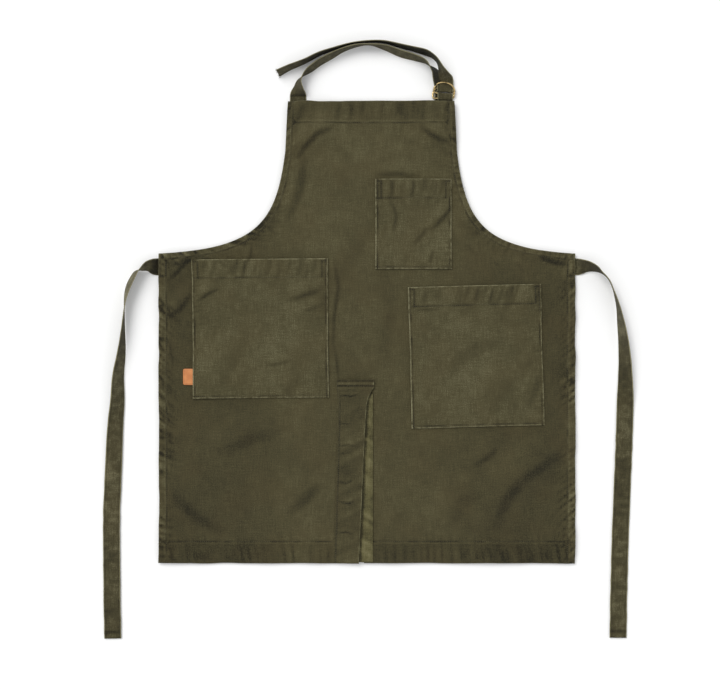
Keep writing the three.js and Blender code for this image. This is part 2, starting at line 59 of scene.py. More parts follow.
camera_data = bpy.data.cameras.new("camera")
camera_data.lens = LENS
camera_data.sensor_width = SENSOR
camera = bpy.data.objects.new("camera", camera_data)
camera.location = (LOOK_X, LOOK_Y, FRAME_WIDTH * LENS / SENSOR)
LOOK_MM = (np.array((LOOK_X, LOOK_Y)) - (ORIGIN_X, ORIGIN_Y)) / MM
bpy.context.scene.collection.objects.link(camera)
bpy.context.scene.camera = camera

# Panel outline
SKIRT_WIDTH = (PANEL_HIGH.x - PANEL_LOW.x) / MM
PANEL_LENGTH = (PANEL_HIGH.y - PANEL_LOW.y) / MM
SKIRT_HALF = SKIRT_WIDTH / 2
BIB_HALF = 141.0
BIB_SHIFT = 7.0
BIB_LEFT, BIB_RIGHT = BIB_SHIFT - BIB_HALF, BIB_SHIFT + BIB_HALF
BIB_SIDE = 88.0
BIB_FLARE = 4.5
WAIST_HEIGHT = 525.0
ARMHOLE_HANDLES = ((0.069, 0.656), (0.183, 0.951))

# Cloth
CLOTH = 1.2
GAP = 0.3
GRID = 22.0
SIDE_HEM = 13.0
BOTTOM_HEM = 36.0
BIB_HEM = 38.0
ARMHOLE_HEM = 10.0
HEM_RISE = 0.75

# Soft folds: middle, length and width as shares of the panel, turn in degrees, height share
FOLD_HEIGHT = 7.0
FOLDS = (
    (0.385, 0.182, 0.27, 0.1, 44, 1.0),
    (0.29, 0.24, 0.13, 0.075, 37, 0.5),
    (0.43, 0.37, 0.3, 0.08, 80, 0.45),
    (-0.135, 0.92, 0.15, 0.08, 42, 0.5),
    (0.175, 0.925, 0.13, 0.08, -27, 0.5),
    (0.1, 0.78, 0.3, 0.075, 97, 0.3),
    (-0.46, 0.555, 0.12, 0.08, 41, 0.5),
    (-0.44, 0.64, 0.13, 0.08, 33, 0.4),
    (-0.055, 0.5, 0.32, 0.08, 90, 0.4),
    (-0.44, 0.2, 0.26, 0.09, 76, 0.35),
    (0.2, 0.09, 0.18, 0.08, 12, 0.3),
)

# Straps and ties
STRAP_WIDTH = 28.0
STRAP_THICK = 1.6
STRAP_INSET = 3.0
STRAP_TUCK = 30.0
STRAP_FLAT = 6.0
NECK_RISE = 104.0
RING_TAB_WIDTH = 26.0
RING_TAB_INSET = 2.0
TIE_WIDTH = 29.0
TIE_TUCK = 24.0
TIE_Y = WAIST_HEIGHT - 22.0
TIE_DROP = 632.0
TIE_REACH = 97.0
STRAP_X = BIB_LEFT + STRAP_INSET + STRAP_WIDTH / 2
TAB_X = BIB_RIGHT - RING_TAB_INSET - RING_TAB_WIDTH / 2

# Small helpers


def bump(share):
    """A smooth hump that ends at -1 and 1."""
    return np.where(np.abs(share) < 1, (1 - share * share) ** 2, 0.0)


def smoothstep(low, high, x):
    """A smooth step from 0 at low to 1 at high."""
    t = np.clip((x - low) / (high - low), 0, 1)
    return t * t * (3 - 2 * t)


def hump(offset, width):
    """A smooth hump without ends: 1 where the offset is 0."""
    return np.exp(-((offset / width) ** 2))


def lattice(seed, ix, iy):
    """A repeatable number from -1 to 1 at each whole-numbered lattice point."""
    h = (ix.astype(np.int64) * 374761393 + iy.astype(np.int64) * 668265263 + seed * 362437) & 0x7FFFFFFF
    h = (h ^ (h >> 13)) * 1274126177 & 0x7FFFFFFF
    return ((h ^ (h >> 16)) & 0xFFFF) / 32767.5 - 1


def noise(x, y, size, seed):
    """Smooth value noise, with features about size across."""
    x, y = np.asarray(x, float) / size, np.asarray(y, float) / size
    ix, iy = np.floor(x), np.floor(y)
    fx, fy = x - ix, y - iy
    fx, fy = fx**3 * (fx * (6 * fx - 15) + 10), fy**3 * (fy * (6 * fy - 15) + 10)
    low = lattice(seed, ix, iy) * (1 - fx) + lattice(seed, ix + 1, iy) * fx
    high = lattice(seed, ix, iy + 1) * (1 - fx) + lattice(seed, ix + 1, iy + 1) * fx
    return low * (1 - fy) + high * fy


def ripple(along, size, seed):
    """Smooth noise along a line."""
    return noise(along, np.zeros_like(along), size, seed)


def place(points):
    """Panel millimetres to frame metres."""
    points = np.asarray(points, float) * MM
    return points + np.array((ORIGIN_X, ORIGIN_Y, 0.0))


def polyline(points, step):
    """The points of a line, with more between them so that none are further apart than step."""
    line = [np.asarray(points[0], float)]
    for a, b in zip(points, points[1:]):
        a, b = np.asarray(a, float), np.asarray(b, float)
        n = max(1, math.ceil(np.linalg.norm(b - a) / step))
        line += [a + (b - a) * i / n for i in range(1, n + 1)]
    return np.array(line)


def steps_of(points):
    return np.linalg.norm(np.diff(points, axis=0), axis=1)


def run_along(points):
    """How far along a line each of its points is."""
    return np.concatenate(([0.0], np.cumsum(steps_of(points))))


def flat_points(x, y):
    return np.stack((x, y), axis=-1).reshape(-1, 2)


def close_to(points, line, reach):
    """Which points lie in the line's box, grown by reach."""
    return np.all((points > line.min(0) - reach) & (points < line.max(0) + reach), axis=1)


def nearest(points, line):
    """Distance of each point to a line, how far along the line that is, and which side (1 is right)."""
    a, b = line[:-1], line[1:]
    run = run_along(line)
    best = np.full(len(points), 1e9)
    along = np.zeros(len(points))
    side = np.ones(len(points))
    for k in range(len(a)):
        d = b[k] - a[k]
        size = max(float(d @ d), 1e-9)
        gap = points - a[k]
        t = np.clip((gap @ d) / size, 0, 1)
        dist = np.linalg.norm(gap - t[:, None] * d, axis=1)
        closer = dist < best
        best[closer] = dist[closer]
        along[closer] = run[k] + t[closer] * math.sqrt(size)
        side[closer] = np.sign(gap[closer, 0] * d[1] - gap[closer, 1] * d[0])
    return best, along, side


# Meshes


def build(name, verts, faces, uv, wear_and_shade=None):
    """An object from panel-millimetre points; uv is each point's place on the flat cloth in metres."""
    mesh = bpy.data.meshes.new(name)
    mesh.from_pydata(place(verts).tolist(), [], [list(map(int, f)) for f in faces])
    corner = np.empty(len(mesh.loops), dtype=np.int32)
    mesh.loops.foreach_get("vertex_index", corner)
    layer = mesh.uv_layers.new(name="cloth")
    layer.data.foreach_set("uv", np.asarray(uv, float)[corner].ravel())
    # The attribute holds rubbed paleness together with painted light and shade, which the materials turn
    # into colour
    values = mesh.attributes.new("wear_and_shade", "FLOAT", "POINT")
    values.data.foreach_set("value", np.zeros(len(verts)) if wear_and_shade is None else np.asarray(wear_and_shade, float))
    mesh.polygons.foreach_set("use_smooth", np.ones(len(mesh.polygons), bool))
    mesh.update()
    obj = bpy.data.objects.new(name, mesh)
    bpy.context.scene.collection.objects.link(obj)
    return obj


def close_sheet(top, bottom, faces, uv, wear_and_shade):
    """Points and faces of a closed sheet from its upper and lower surface on the same faces."""
    count = len(top)
    edges = dict.fromkeys((int(a), int(b)) for face in faces for a, b in zip(face, np.roll(face, -1)))
    rim = [(a, b) for a, b in edges if (b, a) not in edges]
    walls = [(b, a, a + count, b + count) for a, b in rim]
    under = [tuple(int(v) + count for v in reversed(face)) for face in faces]
    over = [tuple(int(v) for v in face) for face in faces]
    verts = np.concatenate((top, bottom))
    return verts, over + under + walls, np.concatenate((uv, uv)), np.concatenate((wear_and_shade, wear_and_shade))


def sheet_piece(name, top, bottom, faces, uv, wear_and_shade, *dressing):
    """A dressed piece of cloth or leather from its upper and lower surface."""
    verts, faces, uv, wear_and_shade = close_sheet(top, bottom, faces, uv, wear_and_shade)
    return dress(build(name, verts, faces, uv, wear_and_shade), *dressing)


def grid_faces(columns, rows):
    """Quads of a grid of (columns + 1) by (rows + 1) points, row by row."""
    i, j = np.meshgrid(np.arange(columns), np.arange(rows))
    a = (j * (columns + 1) + i).ravel()
    return np.stack((a, a + 1, a + columns + 2, a + columns + 1), axis=1)


# Drape, as the solids have it, with the finer creases of washed canvas


def fold_rise(x, y):
    """Height of the soft folds."""
    rise = np.zeros_like(x)
    half = PANEL_LENGTH / 2
    for across, up, length, width, turn, height in FOLDS:
        angle = math.radians(turn)
        dx, dy = x - across * SKIRT_WIDTH, y - up * PANEL_LENGTH
        along = dx * math.cos(angle) + dy * math.sin(angle)
        aside = dy * math.cos(angle) - dx * math.sin(angle)
        rise += FOLD_HEIGHT * height * bump(along / (length * half)) * bump(aside / (width * half))
    return rise


def cover_rise(x, y, left, bottom, right, top, rise):
    """How far the cloth rises over a thing tucked under it, fading round its box."""
    fade_x = bump(np.maximum(np.maximum(left - x, x - right) - GRID, 0) / (2 * GRID))
    fade_y = bump(np.maximum(np.maximum(bottom - y, y - top) - GRID, 0) / (2 * GRID))
    return rise * fade_x * fade_y


TUCK_LOW = PANEL_LENGTH - STRAP_TUCK
TIE_LOW, TIE_HIGH = TIE_Y - TIE_WIDTH / 2, TIE_Y + TIE_WIDTH / 2
COVERS = (
    (STRAP_X - STRAP_WIDTH / 2, TUCK_LOW, STRAP_X + STRAP_WIDTH / 2, PANEL_LENGTH, STRAP_THICK + GAP),
    (TAB_X - RING_TAB_WIDTH / 2, TUCK_LOW, TAB_X + RING_TAB_WIDTH / 2, PANEL_LENGTH,
     2 * (STRAP_THICK + GAP)),
    (-SKIRT_HALF, TIE_LOW, -SKIRT_HALF + TIE_TUCK, TIE_HIGH, STRAP_THICK + GAP),
    (SKIRT_HALF - TIE_TUCK, TIE_LOW, SKIRT_HALF, TIE_HIGH, STRAP_THICK + GAP),
)


def underside(x, y):
    """The level of the panel's underside without its fine creases."""
    z = fold_rise(x, y)
    for cover in COVERS:
        z = z + cover_rise(x, y, *cover)
    return z


def rumple(x, y, seed):
    """Low, soft unevenness of washed cloth, never below its level."""
    broad = np.maximum(noise(x + 0.4 * y, y - 0.3 * x, 90, seed), 0) ** 1.5
    fine = noise(x, y * 0.55, 26, seed + 1) * 0.5 + noise(x, y * 0.7, 11, seed + 2) * 0.3
    return 1.5 * broad + 0.42 * (fine + 0.8)


# Creases: line, height, width of the slow side, width of the steep side (right of the line)
# Strength of the painted shade on a crease's steep side and of the painted highlight on its slow side
CREASE_SHADE, CREASE_HIGHLIGHT, CREASE_STEP = 0.17, 0.03, 8.0
CREASES = (
    (((216, 56), (211, 83), (224, 115), (251, 153), (294, 180), (331, 201)), 8.5, 52, 32),
    (((176, 169), (219, 201)), 2.8, 28, 17),
    (((-124, 687), (-112, 710), (-89, 734), (-58, 747)), 5.0, 26, 15),
    (((93, 746), (113, 732), (139, 718)), 4.4, 24, 14),
    (((-340, 481), (-318, 505), (-297, 522)), 3.6, 16, 10),
    (((-338, 424), (-321, 436), (-304, 462)), 3.4, 20, 14),
    (((-331, 329), (-338, 383)), 1.6, 9, 5),
    (((-63, 350), (-61, 416), (-53, 470), (-61, 520)), 3.4, 12, 10),
    (((-52, 305), (-59, 372)), 2.6, 12, 9),
    (((-326, 132), (-280, 92), (-235, 62)), 4.2, 50, 34),
    (((-145, 90), (-91, 142)), 4.2, 50, 30),
    (((-273, 195), (-198, 227), (-150, 240)), 3.4, 46, 34),
    (((10, 664), (50, 668), (92, 662)), 3.0, 20, 14),
    (((-146, 580), (-124, 640), (-116, 700)), 3.6, 12, 24),
    (((-167, 574), (-148, 559)), 2.2, 12, 9),
    (((-203, 512), (-199, 543)), 2.4, 12, 8),
    (((290, 526), (345, 510)), 4.4, 12, 14),
    (((-342, 508), (-285, 524)), 2.8, 10, 12),
    (((-120, 400), (-30, 560), (10, 600)), 2.2, 60, 45),
    (((120, 60), (150, 120), (210, 140)), 2.2, 50, 36),
    (((5, 330), (20, 430), (0, 520)), 1.8, 45, 40),
    (((170, 545), (187, 525)), 1.6, 9, 7),
    (((212, 520), (226, 506)), 1.8, 9, 7),
    (((258, 512), (268, 494)), 1.5, 9, 7),
    (((-252, 520), (-236, 504)), 1.4, 10, 8),
    (((-226, 530), (-222, 508)), 1.3, 9, 7),
)


def crease_relief(x, y, creases):
    """Height of creases, with painted light and shade: a slow rise in painted highlight on one side, a
    steep fall in painted shade on the other.
    """
    points = flat_points(x, y)
    rise = np.zeros(len(points))
    wear_and_shade = np.zeros(len(points))
    for path, height, slow, steep in creases:
        line = polyline(path, CREASE_STEP)
        reach = max(slow, steep)
        near = close_to(points, line, reach)
        if not near.any():
            continue
        d, s, side = nearest(points[near], line)
        t = s / steps_of(line).sum()
        ends = np.clip(4 * t * (1 - t), 0, 1) ** 0.7
        width = np.where(side > 0, steep, slow) * (0.75 + 0.25 * ends)
        fall = smoothstep(0, 1, d / width)
        flank = 4 * fall * (1 - fall)
        rise[near] += height * ends * (1 - fall)
        # Painted shade on the steep side and painted highlight on the slow side, as the light falls across
        # the crease
        dark = -CREASE_SHADE * flank * min(height, 5) * min(1, 20 / steep)
        pale = CREASE_HIGHLIGHT * flank * min(height, 4)
        wear_and_shade[near] += ends * np.where(side > 0, dark, pale)
    return rise.reshape(x.shape), wear_and_shade.reshape(x.shape)


def drape(x, y):
    """The lying cloth's level and the painted light and shade of its creases, shared by the panel and all
    that lies on it.
    """
    x, y = np.asarray(x, float), np.asarray(y, float)
    rise, wear_and_shade = crease_relief(x, y, CREASES)
    return underside(x, y) + rumple(x, y, 3) + rise, wear_and_shade


def hem_relief(points, line, depth, seed, swell, wave, glow, trail=9.0, slant=1.0, tone=0.0, tuck=0.6):
    """Height, with rubbed paleness and painted light and shade, of a sewn hem along an edge line: puffs
    with tucks in painted shade and crests in painted highlight, a seam in painted shade beside a painted
    highlight line, and a pale edge.

    swell and wave are the puffs' height and length, glow the edge's paleness, partly rubbed and partly
    painted highlight, trail how far puckers run into the cloth, slant their lean, tone how much lighter or
    darker the band is made and tuck the strength of the painted shade in its tucks.
    """
    rise = np.zeros(len(points))
    wear_and_shade = np.zeros(len(points))
    reach = depth + 3 * trail
    near = close_to(points, line, reach)
    if not near.any():
        return rise, wear_and_shade
    d, s, _ = nearest(points[near], line)
    lean = s + slant * d * (0.7 + 0.6 * ripple(s, 150, seed + 5))
    raw = ripple(lean, wave, seed) + 0.4 * noise(lean, d * 0.5, wave * 0.45, seed + 1)
    rope = 1.9 * np.abs(raw) ** 0.75 - 0.8
    strong = np.clip(0.7 + 0.6 * ripple(s, 60, seed + 2), 0.15, 1.2)
    inside = np.clip(d / depth, 0, 1)
    profile = np.where(
        d < depth, 0.35 + 0.65 * np.sin(np.pi * inside**0.8) ** 0.7 - 0.35 * inside,
        0.7 * smoothstep(depth, depth + 4, d) * np.exp(-(d - depth) / trail),
    )
    profile = np.where(d > reach, 0, profile)
    seam = hump(d - depth, 1.1)
    ridge = hump(d - depth + 2.0, 0.9)
    band = smoothstep(depth + 0.8, depth - 1.2, d) * HEM_RISE
    edge = hump(d, 0.9)
    spots = 0.7 + 0.5 * ripple(s, 7, seed + 9)
    broken = np.clip(0.5 + 0.9 * ripple(s, 13, seed + 11), 0.1, 1.2)
    rise[near] = band + swell * strong * rope * profile - 0.5 * seam * (0.8 + 0.4 * rope)
    folds = np.where(rope < 0, 1.25, 0.35) * rope * strong * profile * min(1.2, swell * 0.6 + 0.3)
    count = lean / wave + 0.5 * ripple(lean, 3.1 * wave, seed + 7)
    share = np.clip(0.55 + 0.9 * ripple(s, 31, seed + 8), 0.1, 1.2)
    folds = folds - 0.75 * hump(count % 1 - 0.5, 0.17) * share * profile
    # Pale edge, partly rubbed and partly painted highlight; painted shade in the tucks and painted
    # highlight on the crests; painted shade in the seam with a painted highlight line on the ridge beside
    # it
    wear_and_shade[near] = glow * edge * spots + tuck * folds - 0.8 * seam * broken + 0.3 * ridge
    wear_and_shade[near] += tone * smoothstep(depth + 3, depth, d)
    return rise, wear_and_shade


def seam_relief(x, y, paths):
    """Height of single sewn lines, and painted shade along them."""
    points = flat_points(x, y)
    rise = np.zeros(len(points))
    for path in paths:
        line = np.array(path, float)
        near = close_to(points, line, 5)
        if near.any():
            d = nearest(points[near], line)[0]
            rise[near] = np.maximum(rise[near], hump(d, 1.1))
    # A small dip, and painted shade along the seam groove
    return -0.45 * rise.reshape(x.shape), -1.0 * rise.reshape(x.shape)


# Materials


class Shader:
    """Short calls for building a node material."""

    def __init__(self, name):
        self.material = bpy.data.materials.new(name)
        self.material.use_nodes = True
        self.nodes = self.material.node_tree.nodes
        self.links = self.material.node_tree.links
        self.surface = self.nodes["Principled BSDF"]

    def node(self, kind, settings=None, **inputs):
        node = self.nodes.new(kind)
        for key, value in (settings or {}).items():
            setattr(node, key, value)
        for key, value in inputs.items():
            self.set(node.inputs[key.replace("_", " ")], value)
        return node

    def set(self, socket, value):
        if isinstance(value, bpy.types.NodeSocket):
            self.links.new(value, socket)
        else:
            socket.default_value = value

    def math(self, operation, a, b):
        node = self.node("ShaderNodeMath", {"operation": operation})
        self.set(node.inputs[0], a)
        self.set(node.inputs[1], b)
        return node.outputs[0]

    def add(self, total, *others):
        for other in others:
            total = self.math("ADD", total, other)
        return total

    def mix(self, factor, a, b, blend="MIX"):
        node = self.node("ShaderNodeMix", {"data_type": "RGBA", "blend_type": blend})
        self.set(node.inputs[0], factor)
        self.set(node.inputs[6], a)
        self.set(node.inputs[7], b)
        return node.outputs[2]

    def ramp(self, value, low, high, to_low=0.0, to_high=1.0, kind="SMOOTHSTEP"):
        node = self.node("ShaderNodeMapRange", {"interpolation_type": kind})
        for socket, item in zip(node.inputs, (value, low, high, to_low, to_high)):
            self.set(socket, item)
        return node.outputs[0]

    def spread(self, value, reach):
        """A noise value turned into one from about -reach to reach."""
        return self.ramp(value, 0.25, 0.75, -reach, reach, "LINEAR")

    def cloth_uv(self, scale=(1, 1, 1)):
        uv = self.node("ShaderNodeUVMap", {"uv_map": "cloth"})
        mapping = self.node("ShaderNodeMapping", None, Vector=uv.outputs[0])
        mapping.inputs["Scale"].default_value = scale
        return mapping.outputs[0]

    def own_place(self):
        return self.node("ShaderNodeTexCoord").outputs["Object"]

    # Reads the attribute of rubbed paleness with painted light and shade
    def wear_and_shade_value(self):
        return self.node("ShaderNodeAttribute", {"attribute_name": "wear_and_shade"}).outputs["Fac"]

    def noise(self, vector, scale, detail=2.0, rough=0.5):
        sizes = {"Scale": scale, "Detail": detail, "Roughness": rough}
        return self.node("ShaderNodeTexNoise", None, Vector=vector, **sizes).outputs[0]

    def wave(self, vector, period, axis):
        settings = {"bands_direction": axis}
        node = self.node("ShaderNodeTexWave", settings, Vector=vector, Scale=0.31416 / period)
        return node.outputs["Fac"]

    def finish(self, height, strength, distance):
        node = self.node("ShaderNodeBump", None, Strength=strength, Distance=distance, Height=height)
        self.links.new(node.outputs[0], self.surface.inputs["Normal"])
        return self.material


def grey(v):
    return (v, v, v, 1)


WEAVE = 0.0006
# The darkest colour of the cloth, reached in its painted shade and its darkest random patches
DEEP_OLIVE = (0.018, 0.016, 0.008, 1)


def cloth_material(name, base, light, dark=DEEP_OLIVE, ribs=0.0):
    """Washed canvas: woven threads, slubs, faded patches, and from the attribute rubbed pale edges, painted
    highlight on high points and painted shade in creases.
    """
    s = Shader(name)
    plain = s.cloth_uv()
    weave = s.math("MULTIPLY", s.wave(plain, WEAVE, "X"), s.wave(plain, WEAVE, "Y"))
    slub = s.noise(s.cloth_uv((700, 40, 1)), 1.0, 3.0, 0.6)
    pick = s.noise(s.cloth_uv((45, 800, 1)), 1.0, 2.0, 0.5)
    patches = s.noise(plain, 9.0, 4.0, 0.55)
    blotch = s.noise(plain, 45.0, 3.0, 0.6)
    speck = s.noise(plain, 420.0, 2.0, 0.6)
    grain = s.noise(plain, 620.0, 1.0, 0.5)
    # Rubbed paleness and painted light and shade from the attribute, with the random variations, lighten
    # the cloth towards light or darken it towards dark
    rough_wear_and_shade = s.math("MULTIPLY", s.wear_and_shade_value(), s.ramp(speck, 0.25, 0.7, 0.55, 1.25))
    parts = ((patches, 0.16), (blotch, 0.11), (slub, 0.22), (pick, 0.17), (grain, 0.3))
    lift = s.add(*(s.spread(value, reach) for value, reach in parts), rough_wear_and_shade)
    pale = s.math("MULTIPLY", lift, 0.75)
    deep = s.math("MULTIPLY", lift, -1.05)
    for value in (pale, deep):
        value.node.use_clamp = True
    colour = s.mix(deep, s.mix(pale, base, light), dark)
    warm = s.ramp(s.noise(plain, 14.0, 3.0, 0.5), 0.42, 0.66, 0.0, 0.15)
    colour = s.mix(warm, colour, (base[0] * 1.16, base[1] * 0.98, base[2] * 0.9, 1))
    gaps = s.ramp(weave, 0.0, 0.35, 0.8, 1.0)
    shadow = s.node("ShaderNodeCombineColor", None, Red=gaps, Green=gaps, Blue=gaps).outputs[0]
    colour = s.mix(1.0, colour, shadow, "MULTIPLY")
    s.links.new(colour, s.surface.inputs["Base Color"])
    s.surface.inputs["Roughness"].default_value = 0.92
    s.surface.inputs["Specular IOR Level"].default_value = 0.12
    s.surface.inputs["Sheen Weight"].default_value = 0.05
    s.surface.inputs["Sheen Roughness"].default_value = 0.6
    parts = ((weave, 0.35), (slub, 0.5), (blotch, 0.9))
    height = s.add(*(s.math("MULTIPLY", value, share) for value, share in parts))
    if ribs:
        height = s.add(height, s.math("MULTIPLY", s.wave(plain, ribs, "X"), 1.2))
    return s.finish(height, 0.55, 0.0006)


def thread_material(name, base):
    s = Shader(name)
    twist = s.wave(s.own_place(), 0.0007, "DIAGONAL")
    tone = s.noise(s.own_place(), 60.0, 2.0)
    dark = tuple(c * 0.6 for c in base[:3]) + (1,)
    s.links.new(s.mix(s.ramp(tone, 0.35, 0.65), dark, base), s.surface.inputs["Base Color"])
    s.surface.inputs["Roughness"].default_value = 0.8
    return s.finish(twist, 0.5, 0.0002)


def brass_material():
    s = Shader("aged_brass")
    place_on = s.own_place()
    tarnish = s.ramp(s.noise(place_on, 180.0, 4.0, 0.6), 0.42, 0.66)
    scratch = s.noise(place_on, 1400.0, 2.0, 0.7)
    colour = s.mix(tarnish, (0.6, 0.45, 0.21, 1), (0.17, 0.12, 0.055, 1))
    s.links.new(colour, s.surface.inputs["Base Color"])
    s.surface.inputs["Metallic"].default_value = 1.0
    s.links.new(s.ramp(tarnish, 0.0, 1.0, 0.24, 0.5), s.surface.inputs["Roughness"])
    return s.finish(scratch, 0.15, 0.0001)


def leather_material():
    s = Shader("tan_leather")
    plain = s.cloth_uv()
    cells = s.node("ShaderNodeTexVoronoi", {"feature": "DISTANCE_TO_EDGE"}, Vector=plain, Scale=1100.0)
    pores = s.noise(plain, 2400.0, 2.0)
    patch = s.noise(plain, 90.0, 3.0)
    colour = s.mix(s.ramp(patch, 0.3, 0.7), (0.43, 0.148, 0.037, 1), (0.53, 0.2, 0.055, 1))
    # The attribute darkens the leather along its edge and in its groove
    colour = s.mix(s.ramp(s.wear_and_shade_value(), 0.1, 0.9), colour, (0.27, 0.09, 0.03, 1))
    s.links.new(colour, s.surface.inputs["Base Color"])
    s.surface.inputs["Roughness"].default_value = 0.55
    height = s.add(s.ramp(cells.outputs[0], 0.0, 0.12), s.math("MULTIPLY", pores, 0.4))
    return s.finish(height, 0.35, 0.0002)


CANVAS = cloth_material("olive_canvas", (0.067, 0.058, 0.0265, 1), (0.2, 0.185, 0.1, 1))
POCKET_CANVAS = cloth_material("olive_pocket_canvas", (0.0675, 0.059, 0.027, 1), (0.25, 0.232, 0.135, 1))
STRAP_CANVAS = cloth_material(
    "olive_strap_canvas", (0.06, 0.0525, 0.0245, 1), (0.23, 0.21, 0.12, 1), ribs=0.0027
)
PALE_CANVAS = cloth_material(
    "pale_olive_canvas", (0.105, 0.094, 0.04, 1), (0.21, 0.19, 0.1, 1), (0.03, 0.027, 0.012, 1)
)
THREAD = thread_material("olive_thread", (0.085, 0.076, 0.04, 1))
BRASS = brass_material()
LEATHER = leather_material()


def dress(obj, material, slot_name, *nodes):
    """A piece's material and body, and the solids that it stands for, which it hides; slot_name is not
    used.
    """
    obj.data.materials.append(material)
    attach(obj, "root")
    if nodes:
        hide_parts(*nodes)
    return obj


# Stitches

STITCH_PITCH = 3.3
STITCH_LENGTH = 2.3
STITCH_RADIUS = 0.33
STITCH_SINK = 0.12
STITCH_SIDES = 6
# Share along the stitch, size and height of each of its rings
STITCH_RINGS = (
    (0.0, 0.35, -0.5), (0.22, 0.95, 0.1), (0.5, 1.0, 0.25), (0.78, 0.95, 0.1), (1.0, 0.35, -0.5),
)
SEAM_STEP = 5.0


def stitch_row(line, seat):
    """Both ends of each stitch along a line; seat gives the points on the cloth over flat places."""
    line = np.asarray(line, float)
    run = run_along(line)
    count = max(1, int(run[-1] / STITCH_PITCH))
    ends = []
    for offset in (-STITCH_LENGTH / 2, STITCH_LENGTH / 2):
        s = (np.arange(count) + 0.5) * run[-1] / count + offset
        ends.append(seat(np.interp(s, run, line[:, 0]), np.interp(s, run, line[:, 1])))
    return list(zip(*ends))


def seat_on(surface):
    """Seats for stitches on a surface z(x, y)."""
    return lambda x, y: np.stack((x, y, surface(x, y)), axis=1)


def tube_faces(base, rings, sides):
    """Walls and two end caps of a small tube of rings."""
    faces = []
    for ring in range(rings - 1):
        for k in range(sides):
            p, q = base + ring * sides + k, base + ring * sides + (k + 1) % sides
            faces.append((p, q, q + sides, p + sides))
    faces.append(tuple(base + k for k in reversed(range(sides))))
    faces.append(tuple(base + (rings - 1) * sides + k for k in range(sides)))
    return faces


def stitch_mesh(name, stitches):
    """One mesh of small thread loops, each from its first to its second end; some have their own way up."""
    verts, faces, uv = [], [], []
    for first, last, *up in stitches:
        first, last = np.asarray(first), np.asarray(last)
        along = (last - first) / max(np.linalg.norm(last - first), 1e-9)
        side = np.cross(up[0] if up else (0.0, 0.0, 1.0), along)
        side /= max(np.linalg.norm(side), 1e-9)
        over = np.cross(along, side)
        faces += tube_faces(len(verts), len(STITCH_RINGS), STITCH_SIDES)
        for share, size, height in STITCH_RINGS:
            middle = first + (last - first) * share + over * (height * STITCH_RADIUS - STITCH_SINK)
            for k in range(STITCH_SIDES):
                angle = 2 * math.pi * k / STITCH_SIDES
                out = side * math.cos(angle) + over * math.sin(angle)
                verts.append(middle + STITCH_RADIUS * size * out)
                uv.append((middle[0] * MM, middle[1] * MM))
    return build(name, np.array(verts), faces, np.array(uv))


# Body panel


def armhole(side, inset=0.0, steps=60):
    """Points of one armhole from the bib's top edge to the skirt's side, moved into the cloth."""
    start = np.array((BIB_HALF + BIB_FLARE, PANEL_LENGTH - BIB_SIDE))
    end = np.array((SKIRT_HALF - side * BIB_SHIFT, WAIST_HEIGHT))
    span = end - start
    (a1, d1), (a2, d2) = ARMHOLE_HANDLES
    handles = (start, start + span * (a1, d1), start + span * (a2, d2), end)
    t = np.linspace(0, 1, steps + 1)[:, None]
    p0, p1, p2, p3 = handles
    curve = (1 - t) ** 3 * p0 + 3 * (1 - t) ** 2 * t * p1 + 3 * (1 - t) * t * t * p2 + t**3 * p3
    slope = 3 * (1 - t) ** 2 * (p1 - p0) + 6 * (1 - t) * t * (p2 - p1) + 3 * t * t * (p3 - p2)
    slope /= np.linalg.norm(slope, axis=1)[:, None]
    curve = curve + inset * np.stack((slope[:, 1], -slope[:, 0]), axis=1)
    line = np.concatenate(([(BIB_HALF - inset, PANEL_LENGTH)], curve))
    return np.stack((BIB_SHIFT + side * line[:, 0], line[:, 1]), axis=1)


# Split in the front hem
SLIT_LENGTH = 297.0
SLIT_X = -17.0
SLIT_GAP = 32.0
SLIT_GAP_X = SLIT_X - 4.0
PLACKET_WIDTH = 44.0
PLACKET_ROWS = (
    (-0.048, -0.77, 0.657),
    (-0.006, -0.77, 0.657),
    (0.02, -0.765, 0.55),
    (0.06, -0.76, 0.42),
    (0.1, -0.76, 0.367),
    (0.28, -0.775, 0.297),
    (0.76, -0.87, 0.15),
    (1.0, -0.927, 0.07),
)

# Points of the panel's mesh: steps of its outline, inside, underside and hem rows, then the rows' distances
# from a hem's edge and seam, and how far other points stay clear of those
OUTLINE_STEP = 3.0
MESH_STEP = 3.3
UNDER_STEP = 15.0
ROW_STEP = 2.7
EDGE_ROWS = (0.9, 2.2)
SEAM_ROWS = (-2.0, -0.8, 0.5, 1.9)
EDGE_CLEAR = 3.6
SEAM_CLEAR = 3.2

BIB_SLUMP = 2.4
CURL_HEIGHT, CURL_REACH = 7.5, 26
EDGE_WAVER = 0.8


def corner_points(points, step):
    """A closed outline with points no further apart than step."""
    return polyline(list(points) + [points[0]], step)[:-1]


slit_left, slit_right = SLIT_GAP_X - SLIT_GAP / 2, SLIT_GAP_X + SLIT_GAP / 2
BODY_CORNERS = [
    (-SKIRT_HALF, 0), (slit_left, 0), (slit_left, SLIT_LENGTH), (slit_right, SLIT_LENGTH), (slit_right, 0),
    (SKIRT_HALF, 0), *armhole(1)[::-1], *armhole(-1),
]
